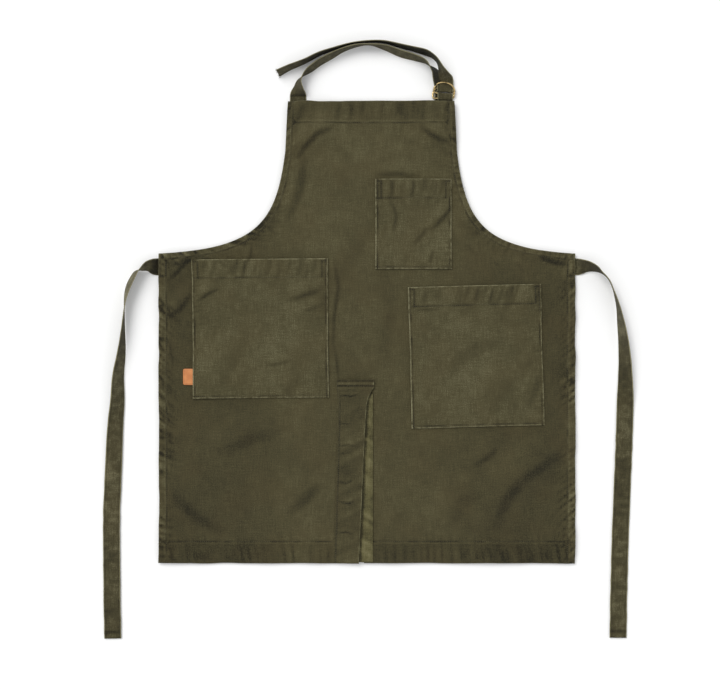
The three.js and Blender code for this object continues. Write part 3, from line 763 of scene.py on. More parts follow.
# Edge line, depth, seed, swell, length of its puckers, pale edge (rubbed and partly painted highlight),
# tone of the band
HEM_LINES = (
    (np.array([(-SKIRT_HALF, 0), (-SKIRT_HALF, WAIST_HEIGHT)], float), SIDE_HEM, 11, 2.3, 12.0, 0.85, 0.28),
    (np.array([(SKIRT_HALF, 0), (SKIRT_HALF, WAIST_HEIGHT)], float), SIDE_HEM, 23, 1.9, 12.0, 1.05, 0.26),
    (np.array([(-SKIRT_HALF, 0), (SKIRT_HALF, 0)], float), BOTTOM_HEM, 31, 0.9, 14.0, 0.6, -0.22),
    (np.array([(BIB_LEFT, PANEL_LENGTH), (BIB_RIGHT, PANEL_LENGTH)]), BIB_HEM, 47, 1.7, 19.0, 0.8, -0.14),
    (armhole(-1, steps=40), ARMHOLE_HEM, 59, 2.0, 12.0, 0.6, -0.04),
    (armhole(1, steps=40), ARMHOLE_HEM, 67, 1.9, 11.0, 0.9, -0.04),
)
TIE_BOXES = [
    [(side * (SKIRT_HALF - 3), TIE_LOW - 2), (side * (SKIRT_HALF - SIDE_HEM + 1), TIE_LOW - 2),
     (side * (SKIRT_HALF - SIDE_HEM + 1), TIE_HIGH), (side * (SKIRT_HALF - 3), TIE_HIGH),
     (side * (SKIRT_HALF - 3), TIE_LOW - 2)]
    for side in (-1, 1)
]


def body_relief(x, y):
    """Height over the draped level, and rubbed paleness with painted light and shade, of the panel's upper
    surface.
    """
    points = flat_points(x, y)
    rise, wear_and_shade = seam_relief(x, y, TIE_BOXES)
    for line, depth, seed, swell, wave, glow, tone in HEM_LINES:
        tuck, slant = (1.3, 1.0) if depth < BOTTOM_HEM / 2 else (0.6, 0.2)
        dz, dw = hem_relief(points, line, depth, seed, swell, wave, glow, slant=slant, tone=tone, tuck=tuck)
        rise = rise + dz
        wear_and_shade = wear_and_shade + dw
    # Painted shade: the skirt is made a little darker than the bib, most of all towards its sides, as the
    # light falls off there
    outer = smoothstep(110, 220, np.abs(x)) * smoothstep(560, 480, y)
    return rise, wear_and_shade + 0.03 - 0.09 * smoothstep(600, 480, y) - 0.25 * outer


def edge_curl(x, y):
    """How far the panel's outer edges lift off the floor."""
    points = flat_points(x, y)
    d = np.full(len(points), 1e9)
    for line, *_ in HEM_LINES:
        near = close_to(points, line, CURL_REACH)
        d[near] = np.minimum(d[near], nearest(points[near], line)[0])
    uneven = np.clip(0.8 + 0.4 * noise(x, y, 42, 87), 0.3, 1.15)
    return CURL_HEIGHT * uneven * bump(d / CURL_REACH).reshape(x.shape)


def body_top(x, y):
    """The panel's upper surface."""
    x, y = np.asarray(x, float), np.asarray(y, float)
    return drape(x, y)[0] + edge_curl(x, y) + CLOTH + body_relief(x, y)[0]


def triangulate(points, rim_count):
    """Points, triangles and the outline's indices, within the outline that the first points make."""
    result = delaunay_2d_cdt([Vector(p) for p in points], [], [list(range(rim_count))], 1, 1e-6)
    flat = np.array([tuple(v) for v in result[0]])
    faces = np.array([f for f in result[2] if len(f) == 3])
    a, b, c = (flat[faces[:, k]] for k in range(3))
    turned = (b[:, 0] - a[:, 0]) * (c[:, 1] - a[:, 1]) - (b[:, 1] - a[:, 1]) * (c[:, 0] - a[:, 0]) < 0
    faces[turned] = faces[turned][:, ::-1]
    rim = np.zeros(rim_count, int)
    for k, origins in enumerate(result[3]):
        for origin in origins:
            if origin < rim_count:
                rim[origin] = k
    return flat, faces, rim


def inside(points, outline):
    """Which points lie within a closed outline."""
    x, y = points[:, 0], points[:, 1]
    result = np.zeros(len(points), bool)
    for (x1, y1), (x2, y2) in zip(outline, np.roll(outline, -1, axis=0)):
        if y1 != y2:
            crosses = (y1 > y) != (y2 > y)
            result ^= crosses & (x < (x2 - x1) * (y - y1) / (y2 - y1) + x1)
    return result


def fill_points(outline, step):
    """Staggered points inside an outline, clear of it."""
    xs = np.arange(-SKIRT_HALF, SKIRT_HALF, step) + step / 2
    ys = np.arange(0, PANEL_LENGTH, step) + step / 2
    gx, gy = np.meshgrid(xs, ys)
    gx = gx + np.where(np.arange(len(ys)) % 2 == 0, step / 4, -step / 4)[:, None]
    inner = np.stack((gx.ravel(), gy.ravel()), axis=1)
    inner = inner[inside(inner, outline)]
    return clear_of(inner, np.concatenate((outline, outline[:1])), 0.0, 0.55 * step)


def clear_of(points, line, low, high):
    """Points that aren't between two distances from a line."""
    keep = np.ones(len(points), bool)
    for k in range(0, len(line) - 1, 40):
        part = line[k : k + 41]
        near = np.flatnonzero(close_to(points, part, high))
        if len(near):
            d = nearest(points[near], part)[0]
            keep[near[(d < high) & (d > low - 1e-6)]] = False
    return points[keep]


def clear_of_hem(points, line, depth):
    points = clear_of(points, line, 0.0, EDGE_CLEAR)
    return clear_of(points, line, depth - SEAM_CLEAR, depth + SEAM_CLEAR)


def inset_line(line, depth):
    """The line moved into the cloth."""
    line = np.asarray(line, float)
    slope = np.gradient(line, axis=0)
    slope /= np.linalg.norm(slope, axis=1)[:, None]
    normal = np.stack((-slope[:, 1], slope[:, 0]), axis=1)
    middle = line[len(line) // 2]
    inward = np.sign(normal[len(line) // 2] @ (np.array((0, 300)) - middle))
    return line + inward * depth * normal


def make_body():
    outline = corner_points(BODY_CORNERS, OUTLINE_STEP)
    inner = fill_points(outline, MESH_STEP)
    rows = []
    for line, depth, *_ in HEM_LINES:
        inner = clear_of_hem(inner, line, depth)
        fine = polyline(line, ROW_STEP)[2:-2]
        for d in (*EDGE_ROWS, *(depth + shift for shift in SEAM_ROWS)):
            row = inset_line(fine, d)
            rows.append((line, row[inside(row, outline)]))
    kept = [inner]
    for line, row in rows:
        for other, depth, *_ in HEM_LINES:
            if other is not line:
                row = clear_of_hem(row, other, depth)
        kept.append(row)
    inner = np.concatenate(kept)
    flat, faces, rim = triangulate(np.concatenate((outline, inner)), len(outline))
    under, under_faces, under_rim = triangulate(
        np.concatenate((outline, fill_points(outline, UNDER_STEP))), len(outline)
    )
    x, y = flat[:, 0], flat[:, 1]
    level, wear_and_shade = drape(x, y)
    level = level + edge_curl(x, y)
    rise, hem_wear_and_shade = body_relief(x, y)
    wear_and_shade = wear_and_shade + hem_wear_and_shade
    rise[rim] = np.minimum(rise[rim], 0.3) - 0.4
    side_wave = EDGE_WAVER * ripple(y, 22, 91) * bump((np.abs(x) - SKIRT_HALF) / 15)
    side_wave = side_wave * (y < WAIST_HEIGHT - 6)
    end_wave = EDGE_WAVER * ripple(x, 34, 93) * bump(y / 16)
    end_wave = end_wave + EDGE_WAVER * ripple(x, 26, 95) * bump((PANEL_LENGTH - y) / 16)
    slump = BIB_SLUMP * smoothstep(PANEL_LENGTH - 20, PANEL_LENGTH, y)
    top = np.stack((x + side_wave, y + end_wave - slump, level + CLOTH + rise), axis=1)
    ux, uy = under[:, 0], under[:, 1]
    low = drape(ux, uy)[0] * 0.9 + edge_curl(ux, uy)
    bottom = np.stack((ux, uy, np.maximum(low - 0.3, 0)), axis=1)
    bottom[under_rim, 0] = top[rim, 0]
    bottom[under_rim, 1] = top[rim, 1]
    bottom[under_rim, 2] = np.maximum(top[rim, 2] - CLOTH - 0.5, 0)
    count = len(flat)
    after = np.roll(np.arange(len(rim)), -1)
    walls = np.stack((under_rim + count, under_rim[after] + count, rim[after], rim), axis=1)
    all_faces = faces.tolist() + (under_faces[:, ::-1] + count).tolist() + walls.tolist()
    wear_and_shade = np.concatenate((wear_and_shade, np.full(len(under), 0.1)))
    uv = np.concatenate((flat, under)) * MM
    obj = build("body_cloth", np.concatenate((top, bottom)), all_faces, uv, wear_and_shade)
    ahead = np.roll(outline, -1, axis=0)
    area = 0.5 * abs(np.sum(outline[:, 0] * ahead[:, 1] - outline[:, 1] * ahead[:, 0]))
    return dress(obj, CANVAS, "canvas", "body_panel"), area * MM * MM


body, body_area = make_body()


def body_stitches():
    low = 2.0
    rows = [
        [(-SKIRT_HALF + SIDE_HEM, low), (-SKIRT_HALF + SIDE_HEM, WAIST_HEIGHT - 3)],
        [(SKIRT_HALF - SIDE_HEM, low), (SKIRT_HALF - SIDE_HEM, WAIST_HEIGHT - 3)],
        [(-SKIRT_HALF + 2, BOTTOM_HEM), (SLIT_X - 0.85 * PLACKET_WIDTH, BOTTOM_HEM)],
        [(SLIT_X + 0.65 * PLACKET_WIDTH, BOTTOM_HEM), (SKIRT_HALF - 2, BOTTOM_HEM)],
        [(BIB_LEFT + 2, PANEL_LENGTH - BIB_HEM), (BIB_RIGHT - 2, PANEL_LENGTH - BIB_HEM)],
        armhole(-1, ARMHOLE_HEM)[:-2],
        armhole(1, ARMHOLE_HEM)[:-2],
        *TIE_BOXES,
    ]
    pairs = []
    for row in rows:
        pairs += stitch_row(polyline(row, SEAM_STEP), seat_on(body_top))
    return dress(stitch_mesh("body_stitches", pairs), THREAD, "canvas")


body_stitches()

# Patch pockets

# Name, middle, width, height, turn in degrees, depth of the mouth's hem, seed
LEFT_X, LEFT_Y, LEFT_WIDTH, LEFT_HEIGHT = -181.0, 398.0, 231.0, 236.0
POCKETS = (
    ("chest_pocket", 79.0, 575.5, 130.0, 153.0, 0.0, 32.6, 101),
    ("left_pocket", LEFT_X, LEFT_Y, LEFT_WIDTH, LEFT_HEIGHT, 0.5, 31.5, 131),
    ("right_pocket", 185.5, 351.0, 226.0, 240.0, 1.5, 33.0, 171),
)
POCKET_BOW = 2.5
POCKET_SEAM = 3.6
CORNER_SEAM = 10.0
POCKET_STEP = 2.7
LEATHER_THICK = 1.8
TAB_LENGTH, TAB_TUCK, TAB_HEIGHT, TAB_DROP = 16.0, 7.0, 28.0, 200.0
TAB_CORNER, TAB_GROOVE = 3.4, 2.4
LEFT_POCKET_EDGE = LEFT_X - LEFT_WIDTH / 2
LEATHER_Y = LEFT_Y + LEFT_HEIGHT / 2 - TAB_DROP
LEATHER_COVER = (
    LEFT_POCKET_EDGE, LEATHER_Y - TAB_HEIGHT / 2, LEFT_POCKET_EDGE + TAB_TUCK, LEATHER_Y + TAB_HEIGHT / 2,
    LEATHER_THICK + GAP,
)

# Creases of the pockets' own cloth
POCKET_CREASES = {
    "left_pocket": (
        (((-291, 447), (-270, 462), (-252, 469)), 3.8, 17, 9),
        (((-139, 450), (-73, 472)), 3.0, 21, 13.5),
        (((-112, 430), (-73, 445)), 1.9, 13, 10.5),
        (((-174, 338), (-129, 347)), 2.0, 14, 9),
        (((-215, 482), (-212, 512)), 1.8, 13, 9),
        (((-186, 480), (-184, 512)), 1.4, 13, 9),
        (((-155, 482), (-152, 512)), 1.8, 13, 9),
        (((-108, 482), (-104, 512)), 1.5, 13, 9),
        (((-262, 300), (-250, 350), (-215, 390)), 2.0, 41, 36),
        (((-150, 290), (-120, 330)), 1.8, 30, 24),
    ),
    "chest_pocket": (
        (((39, 620), (41, 650)), 3.0, 12, 6.8),
        (((72, 620), (76, 650)), 2.2, 12, 7.5),
        (((104, 566), (146, 614)), 3.4, 20, 12),
        (((73, 541), (102, 577)), 2.4, 16, 12),
        (((41, 562), (45, 590), (36, 617)), 2.7, 13, 9),
        (((103, 510), (109, 532)), 2.3, 10, 7.5),
        (((110, 622), (114, 650)), 1.4, 12, 9),
    ),
    "right_pocket": (
        (((153, 440), (157, 467)), 1.6, 12, 7.5),
        (((182, 440), (185, 468)), 1.8, 10, 6.8),
        (((205, 440), (210, 469)), 2.0, 10, 6.8),
        (((240, 442), (243, 470)), 1.2, 14, 10.5),
        (((80, 432), (124, 435)), 2.0, 9, 6.8),
        (((120, 330), (170, 380), (230, 400)), 2.3, 52, 39),
        (((190, 260), (240, 330)), 2.0, 46, 36),
        (((262, 262), (290, 330)), 1.9, 23, 21),
    ),
}
# Distances from an edge at which a sheet's grid has lines, before it goes on evenly
EDGE_LINES = (0.0, 0.45, 1.0, 1.7, 2.5, 3.2, 3.9, 4.7, 6.0)


def edged_grid(size, step, extra=()):
    """Grid lines from -size/2 to size/2, close together at both ends and round the extra places."""
    half = size / 2
    lines = [-half + d for d in EDGE_LINES] + [half - d for d in EDGE_LINES]
    lines += [e + d for e in extra for d in (-1.6, -0.7, 0.2, 1.1)]
    last = EDGE_LINES[-1]
    inner = np.linspace(-half + last, half - last, max(2, round((size - 2 * last) / step)))
    lines += [v for v in inner if all(abs(v - e) > 2.4 for e in extra)]
    return np.unique(np.round(lines, 3))


def make_pocket(name, cx, cy, width, height, turn, hem, seed):
    angle = math.radians(turn)
    half_w, half_h = width / 2, height / 2
    across_lines = edged_grid(width, POCKET_STEP, (CORNER_SEAM - half_w, half_w - CORNER_SEAM))
    up_lines = edged_grid(height, POCKET_STEP, (half_h - hem,))
    u, v = np.meshgrid(across_lines, up_lines)
    u, v = u.ravel(), v.ravel()
    waist = 1 - 0.006 * np.cos(np.pi * v / height) - 0.002 * ripple(v, 40, seed)
    # Edge line, depth, swell, wave, glow and trail of the three sewn sides and the mouth; glow, the edge's
    # paleness, is partly painted highlight and largest on the left side and the mouth, which face the light
    sides = [
        (np.array([(-half_w, half_h), (-half_w, -half_h)]), POCKET_SEAM, 0.9, 10.0, 1.7, 7.0),
        (np.array([(-half_w, -half_h), (half_w, -half_h)]), POCKET_SEAM, 0.8, 11.0, 0.9, 7.0),
        (np.array([(half_w, -half_h), (half_w, half_h)]), POCKET_SEAM, 0.9, 10.0, 1.1, 7.0),
        (np.array([(-half_w, half_h), (half_w, half_h)]), hem, 0.75, 18.0, 1.8, 6.0),
    ]
    corner_seams = [
        [(side * (half_w - POCKET_SEAM), half_h - 4), (side * (half_w - CORNER_SEAM), half_h - 4),
         (side * (half_w - CORNER_SEAM), half_h - hem)]
        for side in (-1, 1)
    ]

    def spread(u, v):
        x = cx + u * math.cos(angle) - v * math.sin(angle)
        y = cy + u * math.sin(angle) + v * math.cos(angle)
        return x, y

    def surface(u, v):
        u, v = np.asarray(u, float), np.asarray(v, float)
        x, y = spread(u, v)
        across = np.minimum(np.abs(2 * u / width), 1)
        up = np.clip(0.5 + v / height, 0, 1)
        level, wear_and_shade = drape(x, y)
        base = level + CLOTH + GAP + POCKET_BOW * (1 - across**2) * up**1.5
        if name == "left_pocket":
            base = base + cover_rise(x, y, *LEATHER_COVER)
        own, own_painted_shading = crease_relief(x, y, POCKET_CREASES[name])
        sewn_rise, sewn_painted_shade = seam_relief(u, v, corner_seams)
        lift = 0.75 + 0.5 * rumple(x, y, seed) + own + sewn_rise
        wear_and_shade = wear_and_shade + own_painted_shading + sewn_painted_shade
        points = np.stack((u, v), axis=1)
        for k, (line, depth, swell, wave, glow, trail) in enumerate(sides):
            dz, dw = hem_relief(points, line, depth, seed + 7 * k, swell, wave, glow, trail, 0.3)
            lift, wear_and_shade = lift + dz, wear_and_shade + dw
        return base, lift, wear_and_shade

    base, lift, wear_and_shade = surface(u, v)
    rim = (np.abs(u) > half_w - 0.1) | (np.abs(v) > half_h - 0.1)
    lift[rim] = np.minimum(lift[rim], 1.2) - 0.3
    x, y = spread(u * waist, v)
    top = np.stack((x, y, base + CLOTH + lift), axis=1)
    bottom = np.stack((x, y, base + 0.35 * np.minimum(lift, 1.2)), axis=1)
    uv = np.stack((u + seed, v), axis=1) * MM
    faces = grid_faces(len(across_lines) - 1, len(up_lines) - 1)
    obj = sheet_piece(name + "_cloth", top, bottom, faces, uv, wear_and_shade, POCKET_CANVAS, "canvas", name)

    def seat(u, v):
        level, lift, _ = surface(u, v)
        return np.stack((*spread(u, v), level + CLOTH + lift), axis=1)

    left, low = POCKET_SEAM - half_w, POCKET_SEAM - half_h
    seams = [[(left, half_h - 1), (left, low), (-left, low), (-left, half_h - 1)]]
    seams += [[(1 - half_w, half_h - hem), (half_w - 1, half_h - hem)], *corner_seams]
    pairs = []
    for seam in seams:
        pairs += stitch_row(polyline(seam, SEAM_STEP), seat)
    stitch = dress(stitch_mesh(name + "_stitches", pairs), THREAD, "canvas")


for pocket in POCKETS:
    make_pocket(*pocket)

# Leather tab


def make_leather_tab():
    left, right = LEFT_POCKET_EDGE - TAB_LENGTH, LEFT_POCKET_EDGE + TAB_TUCK
    columns, rows = 28, 36
    u, v = np.meshgrid(np.linspace(0, 1, columns + 1), np.linspace(-1, 1, rows + 1))
    u, v = u.ravel(), v.ravel()
    half = TAB_HEIGHT / 2
    corner = np.clip((np.abs(v) * half - (half - TAB_CORNER)) / TAB_CORNER, 0, 1)
    start = left + TAB_CORNER * (1 - np.sqrt(np.maximum(1 - corner**2, 0)))
    x, y = start + (right - start) * u, LEATHER_Y + v * half
    d = np.minimum(x - start, half - np.abs(v * half))
    low = drape(x, y)[0] + CLOTH + GAP + 0.2
    round_edge = 0.75 * hump(d, 0.8)
    groove = 0.35 * hump(d - TAB_GROOVE, 0.5)
    puff = 0.35 * np.sin(np.pi * np.clip(u, 0, 1))
    top = np.stack((x, y, low + LEATHER_THICK - round_edge - groove + puff), axis=1)
    bottom = np.stack((x, y, low + 0.15 * round_edge), axis=1)
    # Darker along the tab's edge and in its groove
    wear_and_shade = hump(d, 0.7) + 0.6 * hump(d - TAB_GROOVE, 0.5)
    uv = np.stack((x, y), axis=1) * MM
    faces = grid_faces(columns, rows)
    sheet_piece("leather_tab_piece", top, bottom, faces, uv, wear_and_shade, LEATHER, "leather", "leather_tab")


make_leather_tab()

# Split hem: binding and placket

STRIP_ROWS = 150
# Where a strip's mesh has points across it, closer together near its edges
STRIP_SHARES = (
    0, 0.02, 0.05, 0.09, 0.13, 0.18, 0.25, 0.33, 0.42, 0.5,
    0.58, 0.67, 0.75, 0.82, 0.87, 0.91, 0.95, 0.98, 1,
)


def make_strip(name, rows, surface, material, slot_name, node, seed):
    """A long sewn strip down the split: rows of (down, left, right) shares."""
    table = np.array(rows)
    down = np.linspace(table[0, 0], table[-1, 0], STRIP_ROWS + 1)
    share = np.array(STRIP_SHARES)
    columns = len(share) - 1
    left, right = strip_edges(table, down)
    y = np.repeat(SLIT_LENGTH * (1 - down)[::-1], columns + 1)
    x = ((left[:, None] + (right - left)[:, None] * share)[::-1]).ravel()
    low, high, wear_and_shade = surface(x, y)
    top = np.stack((x, y, high), axis=1)
    bottom = np.stack((x, y, np.minimum(low, high - 0.4)), axis=1)
    uv = np.stack((x + seed, y), axis=1) * MM
    faces = grid_faces(columns, STRIP_ROWS)
    obj = sheet_piece(name, top, bottom, faces, uv, wear_and_shade, material, slot_name, node)


def strip_edges(table, down):
    """A strip's left and right edges at shares down the split."""
    left = SLIT_X + np.interp(down, table[:, 0], table[:, 1]) * PLACKET_WIDTH
    right = SLIT_X + np.interp(down, table[:, 0], table[:, 2]) * PLACKET_WIDTH
    return left, right


def strip_distances(rows, x, y):
    """Distances of points from a strip's left, right and top ends."""
    table = np.array(rows)
    left, right = strip_edges(table, 1 - y / SLIT_LENGTH)
    return x - left, right - x, SLIT_LENGTH * (1 - table[0, 0]) - y


SEAT = 2.0 + GAP
BINDING_LEFT, BINDING_RIGHT = -0.19, 0.62
BINDING_SEAM = 3.2
PLACKET_SEAM = 4
TACK_LOW = 262
TACK_RIDGES = (304.6, 296.6)
TACK_SEAMS = (308.6, 300.6)
BINDING_ROWS = ((0.03, BINDING_LEFT, BINDING_RIGHT), (0.993, BINDING_LEFT, BINDING_RIGHT))
binding_left = SLIT_X + BINDING_LEFT * PLACKET_WIDTH
PLACKET_CREASES = (
    (((-47, 287), (-28, 285), (-14, 288)), 1.9, 6, 4),
    (((-50, 200), (-32, 203), (-20, 199)), 1.2, 8, 5),
    (((-46, 188), (-24, 190)), 0.9, 7, 4),
    (((-52, 141), (-36, 138), (-24, 143)), 1.3, 8, 5),
    (((-50, 107), (-30, 104), (-22, 108)), 1.5, 8, 5),
    (((-52, 52), (-36, 55), (-22, 50)), 1.5, 8, 4),
    (((-48, 240), (-30, 238)), 0.9, 8, 5),
)


def binding_surface(x, y):
    """The binding's underside, upper side, and painted light and shade: ripples in painted light and shade,
    its right edge and seam in painted shade, and the placket's painted shadow beside that edge.
    """
    d_left, d_right, d_end = strip_distances(BINDING_ROWS, x, y)
    rope = ripple(y + 0.6 * d_left, 8.0, 211) + 0.5 * noise(y, x, 5.0, 212)
    level, wear_and_shade = drape(x, y)
    level = level + edge_curl(x, y)
    d = np.minimum(d_right, d_end)
    edge = hump(d_right, 0.9)
    seam = hump(d_right - BINDING_SEAM, 1.0)
    lift = 0.35 + 0.5 * rope * np.clip(d / 3, 0, 1) - 0.35 * seam - 0.4 * edge
    placket_right = strip_edges(np.array(PLACKET_ROWS), 1 - y / SLIT_LENGTH)[1]
    # Painted shadow that the placket's raised edge casts onto the binding
    shade = hump(x - placket_right - 1.5, 2.3)
    wear_and_shade = wear_and_shade - 0.7 * edge + 0.45 * rope - 0.35 * seam - 1.5 * shade
    return level + SEAT, level + SEAT + CLOTH + lift, wear_and_shade


def placket_surface(x, y):
    """The placket's underside, upper side, and paleness with painted light and shade, with the tack's
    ridges over the split's top.
    """
    d_left, d_right, _ = strip_distances(PLACKET_ROWS, x, y)
    level, wear_and_shade = drape(x, y)
    level = level + edge_curl(x, y)
    own, own_painted_shading = crease_relief(x, y, PLACKET_CREASES)
    step_up = (CLOTH + GAP) * smoothstep(binding_left - 12.1, binding_left - 5.5, x)
    rope = ripple(y + 0.5 * d_right, 12.0, 223) + 0.5 * noise(y, x, 6.0, 224)
    curl = 1.5 * smoothstep(9, 0, d_right) * (0.8 + 0.3 * ripple(y, 45, 225))
    free_edge = hump(d_right, 0.9)
    seam = hump(d_left - PLACKET_SEAM, 1.1)
    tack = smoothstep(TACK_LOW, 300, y)
    ridges = hump(y - TACK_RIDGES[0], 2.0) + 0.6 * hump(y - TACK_RIDGES[1], 1.8)
    grooves = sum(hump(y - seam_y, 1.0) for seam_y in TACK_SEAMS)
    within = np.clip(np.minimum(d_left, d_right) / 4, 0, 1)
    raised = SEAT + CLOTH + step_up + curl + own + 0.3 + 0.35 * rope * within
    raised = raised + tack * (0.9 * ridges - 0.7 * grooves + 0.8)
    flush = CLOTH + 0.75
    merge = np.maximum(smoothstep(0, 11, d_left), tack * smoothstep(0, 3, d_left))
    lift = flush + (raised - flush) * merge - 0.3 * seam - 0.5 * free_edge
    spots = 0.7 + 0.5 * ripple(y, 8, 226)
    # Painted light and shade on the creases, ripples and tack ridges, painted shade in the seam and tack
    # grooves, a pale free edge partly rubbed and partly painted highlight, and a rubbed pale tack corner
    wear_and_shade = wear_and_shade + 3.0 * own_painted_shading - 0.22 + 1.7 * free_edge * spots + 0.22 * rope * merge
    wear_and_shade = wear_and_shade - 0.6 * seam * (1 - tack) + tack * (0.3 * ridges - 1.2 * grooves)
    wear_and_shade = wear_and_shade + 1.3 * tack * hump(d_right, 2.2) * ridges
    low = level + SEAT + step_up
    return low, level + lift, wear_and_shade


make_strip("binding_cloth", BINDING_ROWS, binding_surface, PALE_CANVAS, "light_canvas", "slit_binding", 211)
make_strip("placket_cloth", PLACKET_ROWS, placket_surface, CANVAS, "canvas", "slit_placket", 223)


def slit_stitches():
    on_placket = seat_on(lambda x, y: placket_surface(x, y)[1])
    on_binding = seat_on(lambda x, y: binding_surface(x, y)[1])
    down = np.linspace(0.02, 0.99, 60)
    left = strip_edges(np.array(PLACKET_ROWS), down)[0] + PLACKET_SEAM
    pairs = stitch_row(np.stack((left, SLIT_LENGTH * (1 - down)), axis=1), on_placket)
    for y in TACK_SEAMS:
        ends = [(SLIT_X - 0.57 * PLACKET_WIDTH, y), (SLIT_X + 0.6 * PLACKET_WIDTH, y)]
        pairs += stitch_row(polyline(ends, SEAM_STEP), on_placket)
    x = SLIT_X + BINDING_RIGHT * PLACKET_WIDTH - BINDING_SEAM
    ends = [(x, SLIT_LENGTH * 0.96), (x, SLIT_LENGTH * 0.012)]
    pairs += stitch_row(polyline(ends, SEAM_STEP), on_binding)
    return dress(stitch_mesh("slit_stitches", pairs), THREAD, "canvas")


slit_stitches()

# Bands: neck strap, ring tab and ties

BAND_STEP = 2.4
# Strap stations: across the bib and up as shares, turn on its edge in degrees, lift as a share of the width
NECK_RUN = (
    (-0.44, 0.12, -22), (-0.438, 0.203, -52), (-0.434, 0.309, -74), (-0.416, 0.391, -92),
    (-0.377, 0.489, -112), (-0.31, 0.623, -115), (-0.247, 0.718, -114), (-0.175, 0.819, -106),
    (-0.096, 0.891, -101), (-0.012, 0.915, -95), (0.084, 0.865, -110), (0.181, 0.765, -117),
    (0.265, 0.7, -114), (0.326, 0.636, -104), (0.35, 0.575, -92), (0.367, 0.53, -80),
    (0.382, 0.487, -70), (0.4, 0.398, -50), (0.418, 0.316, -25),
)
TAIL_RUN = (
    (0.44, 0.382, 155, 0.21), (0.432, 0.464, 125, 0.31), (0.419, 0.554, 108, 0.33),
    (0.407, 0.623, 103, 0.22), (0.392, 0.677, 104, 0.1), (0.371, 0.726, 106, 0.02),
    (0.331, 0.783, 112, 0), (0.253, 0.843, 108, 0), (0.181, 0.889, 106, 0), (0.084, 0.955, 100, 0),
    (0.012, 0.966, 98, 0), (-0.115, 0.935, 96, 0), (-0.229, 0.84, 102, 0), (-0.316, 0.758, 105, 0),
    (-0.392, 0.652, 108, 0), (-0.5, 0.53, 113, 0), (-0.562, 0.445, 118, 0),
)
# Tie stations: out from the hem and down as shares, turn on its edge in degrees
LEFT_TIE_RUN = (
    (0.11, -0.001, -24), (0.21, -0.001, -52), (0.31, 0.0055, -76), (0.4, 0.013, -98),
    (0.49, 0.035, -105), (0.55, 0.056, -105), (0.59, 0.078, -99), (0.615, 0.11, -90),
    (0.637, 0.169, -77), (0.66, 0.223, -62), (0.724, 0.299, -45), (0.735, 0.358, -33),
    (0.774, 0.433, -20), (0.803, 0.546, -5), (0.836, 0.654, 0), (0.836, 0.815, 0), (0.816, 1, 0),
)
RIGHT_TIE_RUN = (
    (0.12, -0.001, 28), (0.24, -0.001, 50), (0.389, 0.006, 69), (0.474, 0.015, 83), (0.552, 0.025, 88),
    (0.617, 0.038, 88), (0.675, 0.059, 88), (0.722, 0.081, 83), (0.77, 0.11, 76), (0.815, 0.153, 63),
    (0.859, 0.202, 52), (0.885, 0.261, 40), (0.89, 0.317, 26), (0.885, 0.371, 6), (0.868, 0.465, 0),
    (0.833, 0.6, 0), (0.797, 0.748, 0), (0.77, 0.907, 0), (0.763, 0.998, 0),
)

# Rings, from the same sizes as the solids, but of RING_WIRE, a little thicker than their wire; the bars lie
# BAR_ABOVE the bib's edge and BAR_STAGGER apart
RING_WIDTH, RING_HEIGHT, RING_SIDE, RING_CORNER, WIRE = 38.0, 23.6, 7.0, 3.0, 2.6
RING_SHIFT = -3.2
RING_WIRE = 3.0
BAR_ABOVE, BAR_STAGGER = 3.4, 6.6
RING_TILT = 8.0
UPPER_TURN = -9.0
EXTRA_TURN = -5.0
LOWER_BAR = (PANEL_LENGTH + BAR_ABOVE, STRAP_THICK + GAP + WIRE / 2)
UPPER_BAR = (LOWER_BAR[0] + BAR_STAGGER, LOWER_BAR[1] + WIRE + GAP)
WRAP = WIRE / 2 + GAP + STRAP_THICK / 2
RING_RISE = RING_HEIGHT - WIRE
TURN_BAR = (UPPER_BAR[0] + 2 * (WRAP + STRAP_THICK / 2) + GAP, LOWER_BAR[1])
RING_TOP = UPPER_BAR[0] + RING_RISE
OVER_RING = LOWER_BAR[1] + WIRE / 2 + GAP


def smooth_run(stations):
    """Points, directions, tilts and lifts along a centripetal curve through stations."""
    table = np.array(stations, float)
    knots = np.concatenate(([0.0], np.cumsum(steps_of(table[:, :2]) ** 0.5)))
    before = 2 * table[0] - table[1]
    after = 2 * table[-1] - table[-2]
    points = np.concatenate(([before], table, [after]))
    t = np.concatenate(([knots[0] - (knots[1] - knots[0])], knots, [2 * knots[-1] - knots[-2]]))
    rows = []
    for k in range(1, len(points) - 2):
        p0, p1, p2, p3 = points[k - 1 : k + 3]
        t0, t1, t2, t3 = t[k - 1 : k + 3]
        n = max(4, int(np.linalg.norm(p2[:2] - p1[:2]) / 1.0))
        for s in np.linspace(t1, t2, n, endpoint=False):
            a1 = (t1 - s) / (t1 - t0) * p0 + (s - t0) / (t1 - t0) * p1
            a2 = (t2 - s) / (t2 - t1) * p1 + (s - t1) / (t2 - t1) * p2
            a3 = (t3 - s) / (t3 - t2) * p2 + (s - t2) / (t3 - t2) * p3
            b1 = (t2 - s) / (t2 - t0) * a1 + (s - t0) / (t2 - t0) * a2
            b2 = (t3 - s) / (t3 - t1) * a2 + (s - t1) / (t3 - t1) * a3
            rows.append((t2 - s) / (t2 - t1) * b1 + (s - t1) / (t2 - t1) * b2)
    rows.append(table[-1])
    rows = np.array(rows)
    run = run_along(rows[:, :2])
    count = max(2, round(run[-1] / BAND_STEP))
    where = np.linspace(0, run[-1], count + 1)
    even = np.stack([np.interp(where, run, rows[:, k]) for k in range(rows.shape[1])], axis=1)
    heading = np.gradient(even[:, :2], axis=0)
    heading /= np.linalg.norm(heading, axis=1)[:, None]
    return even, heading


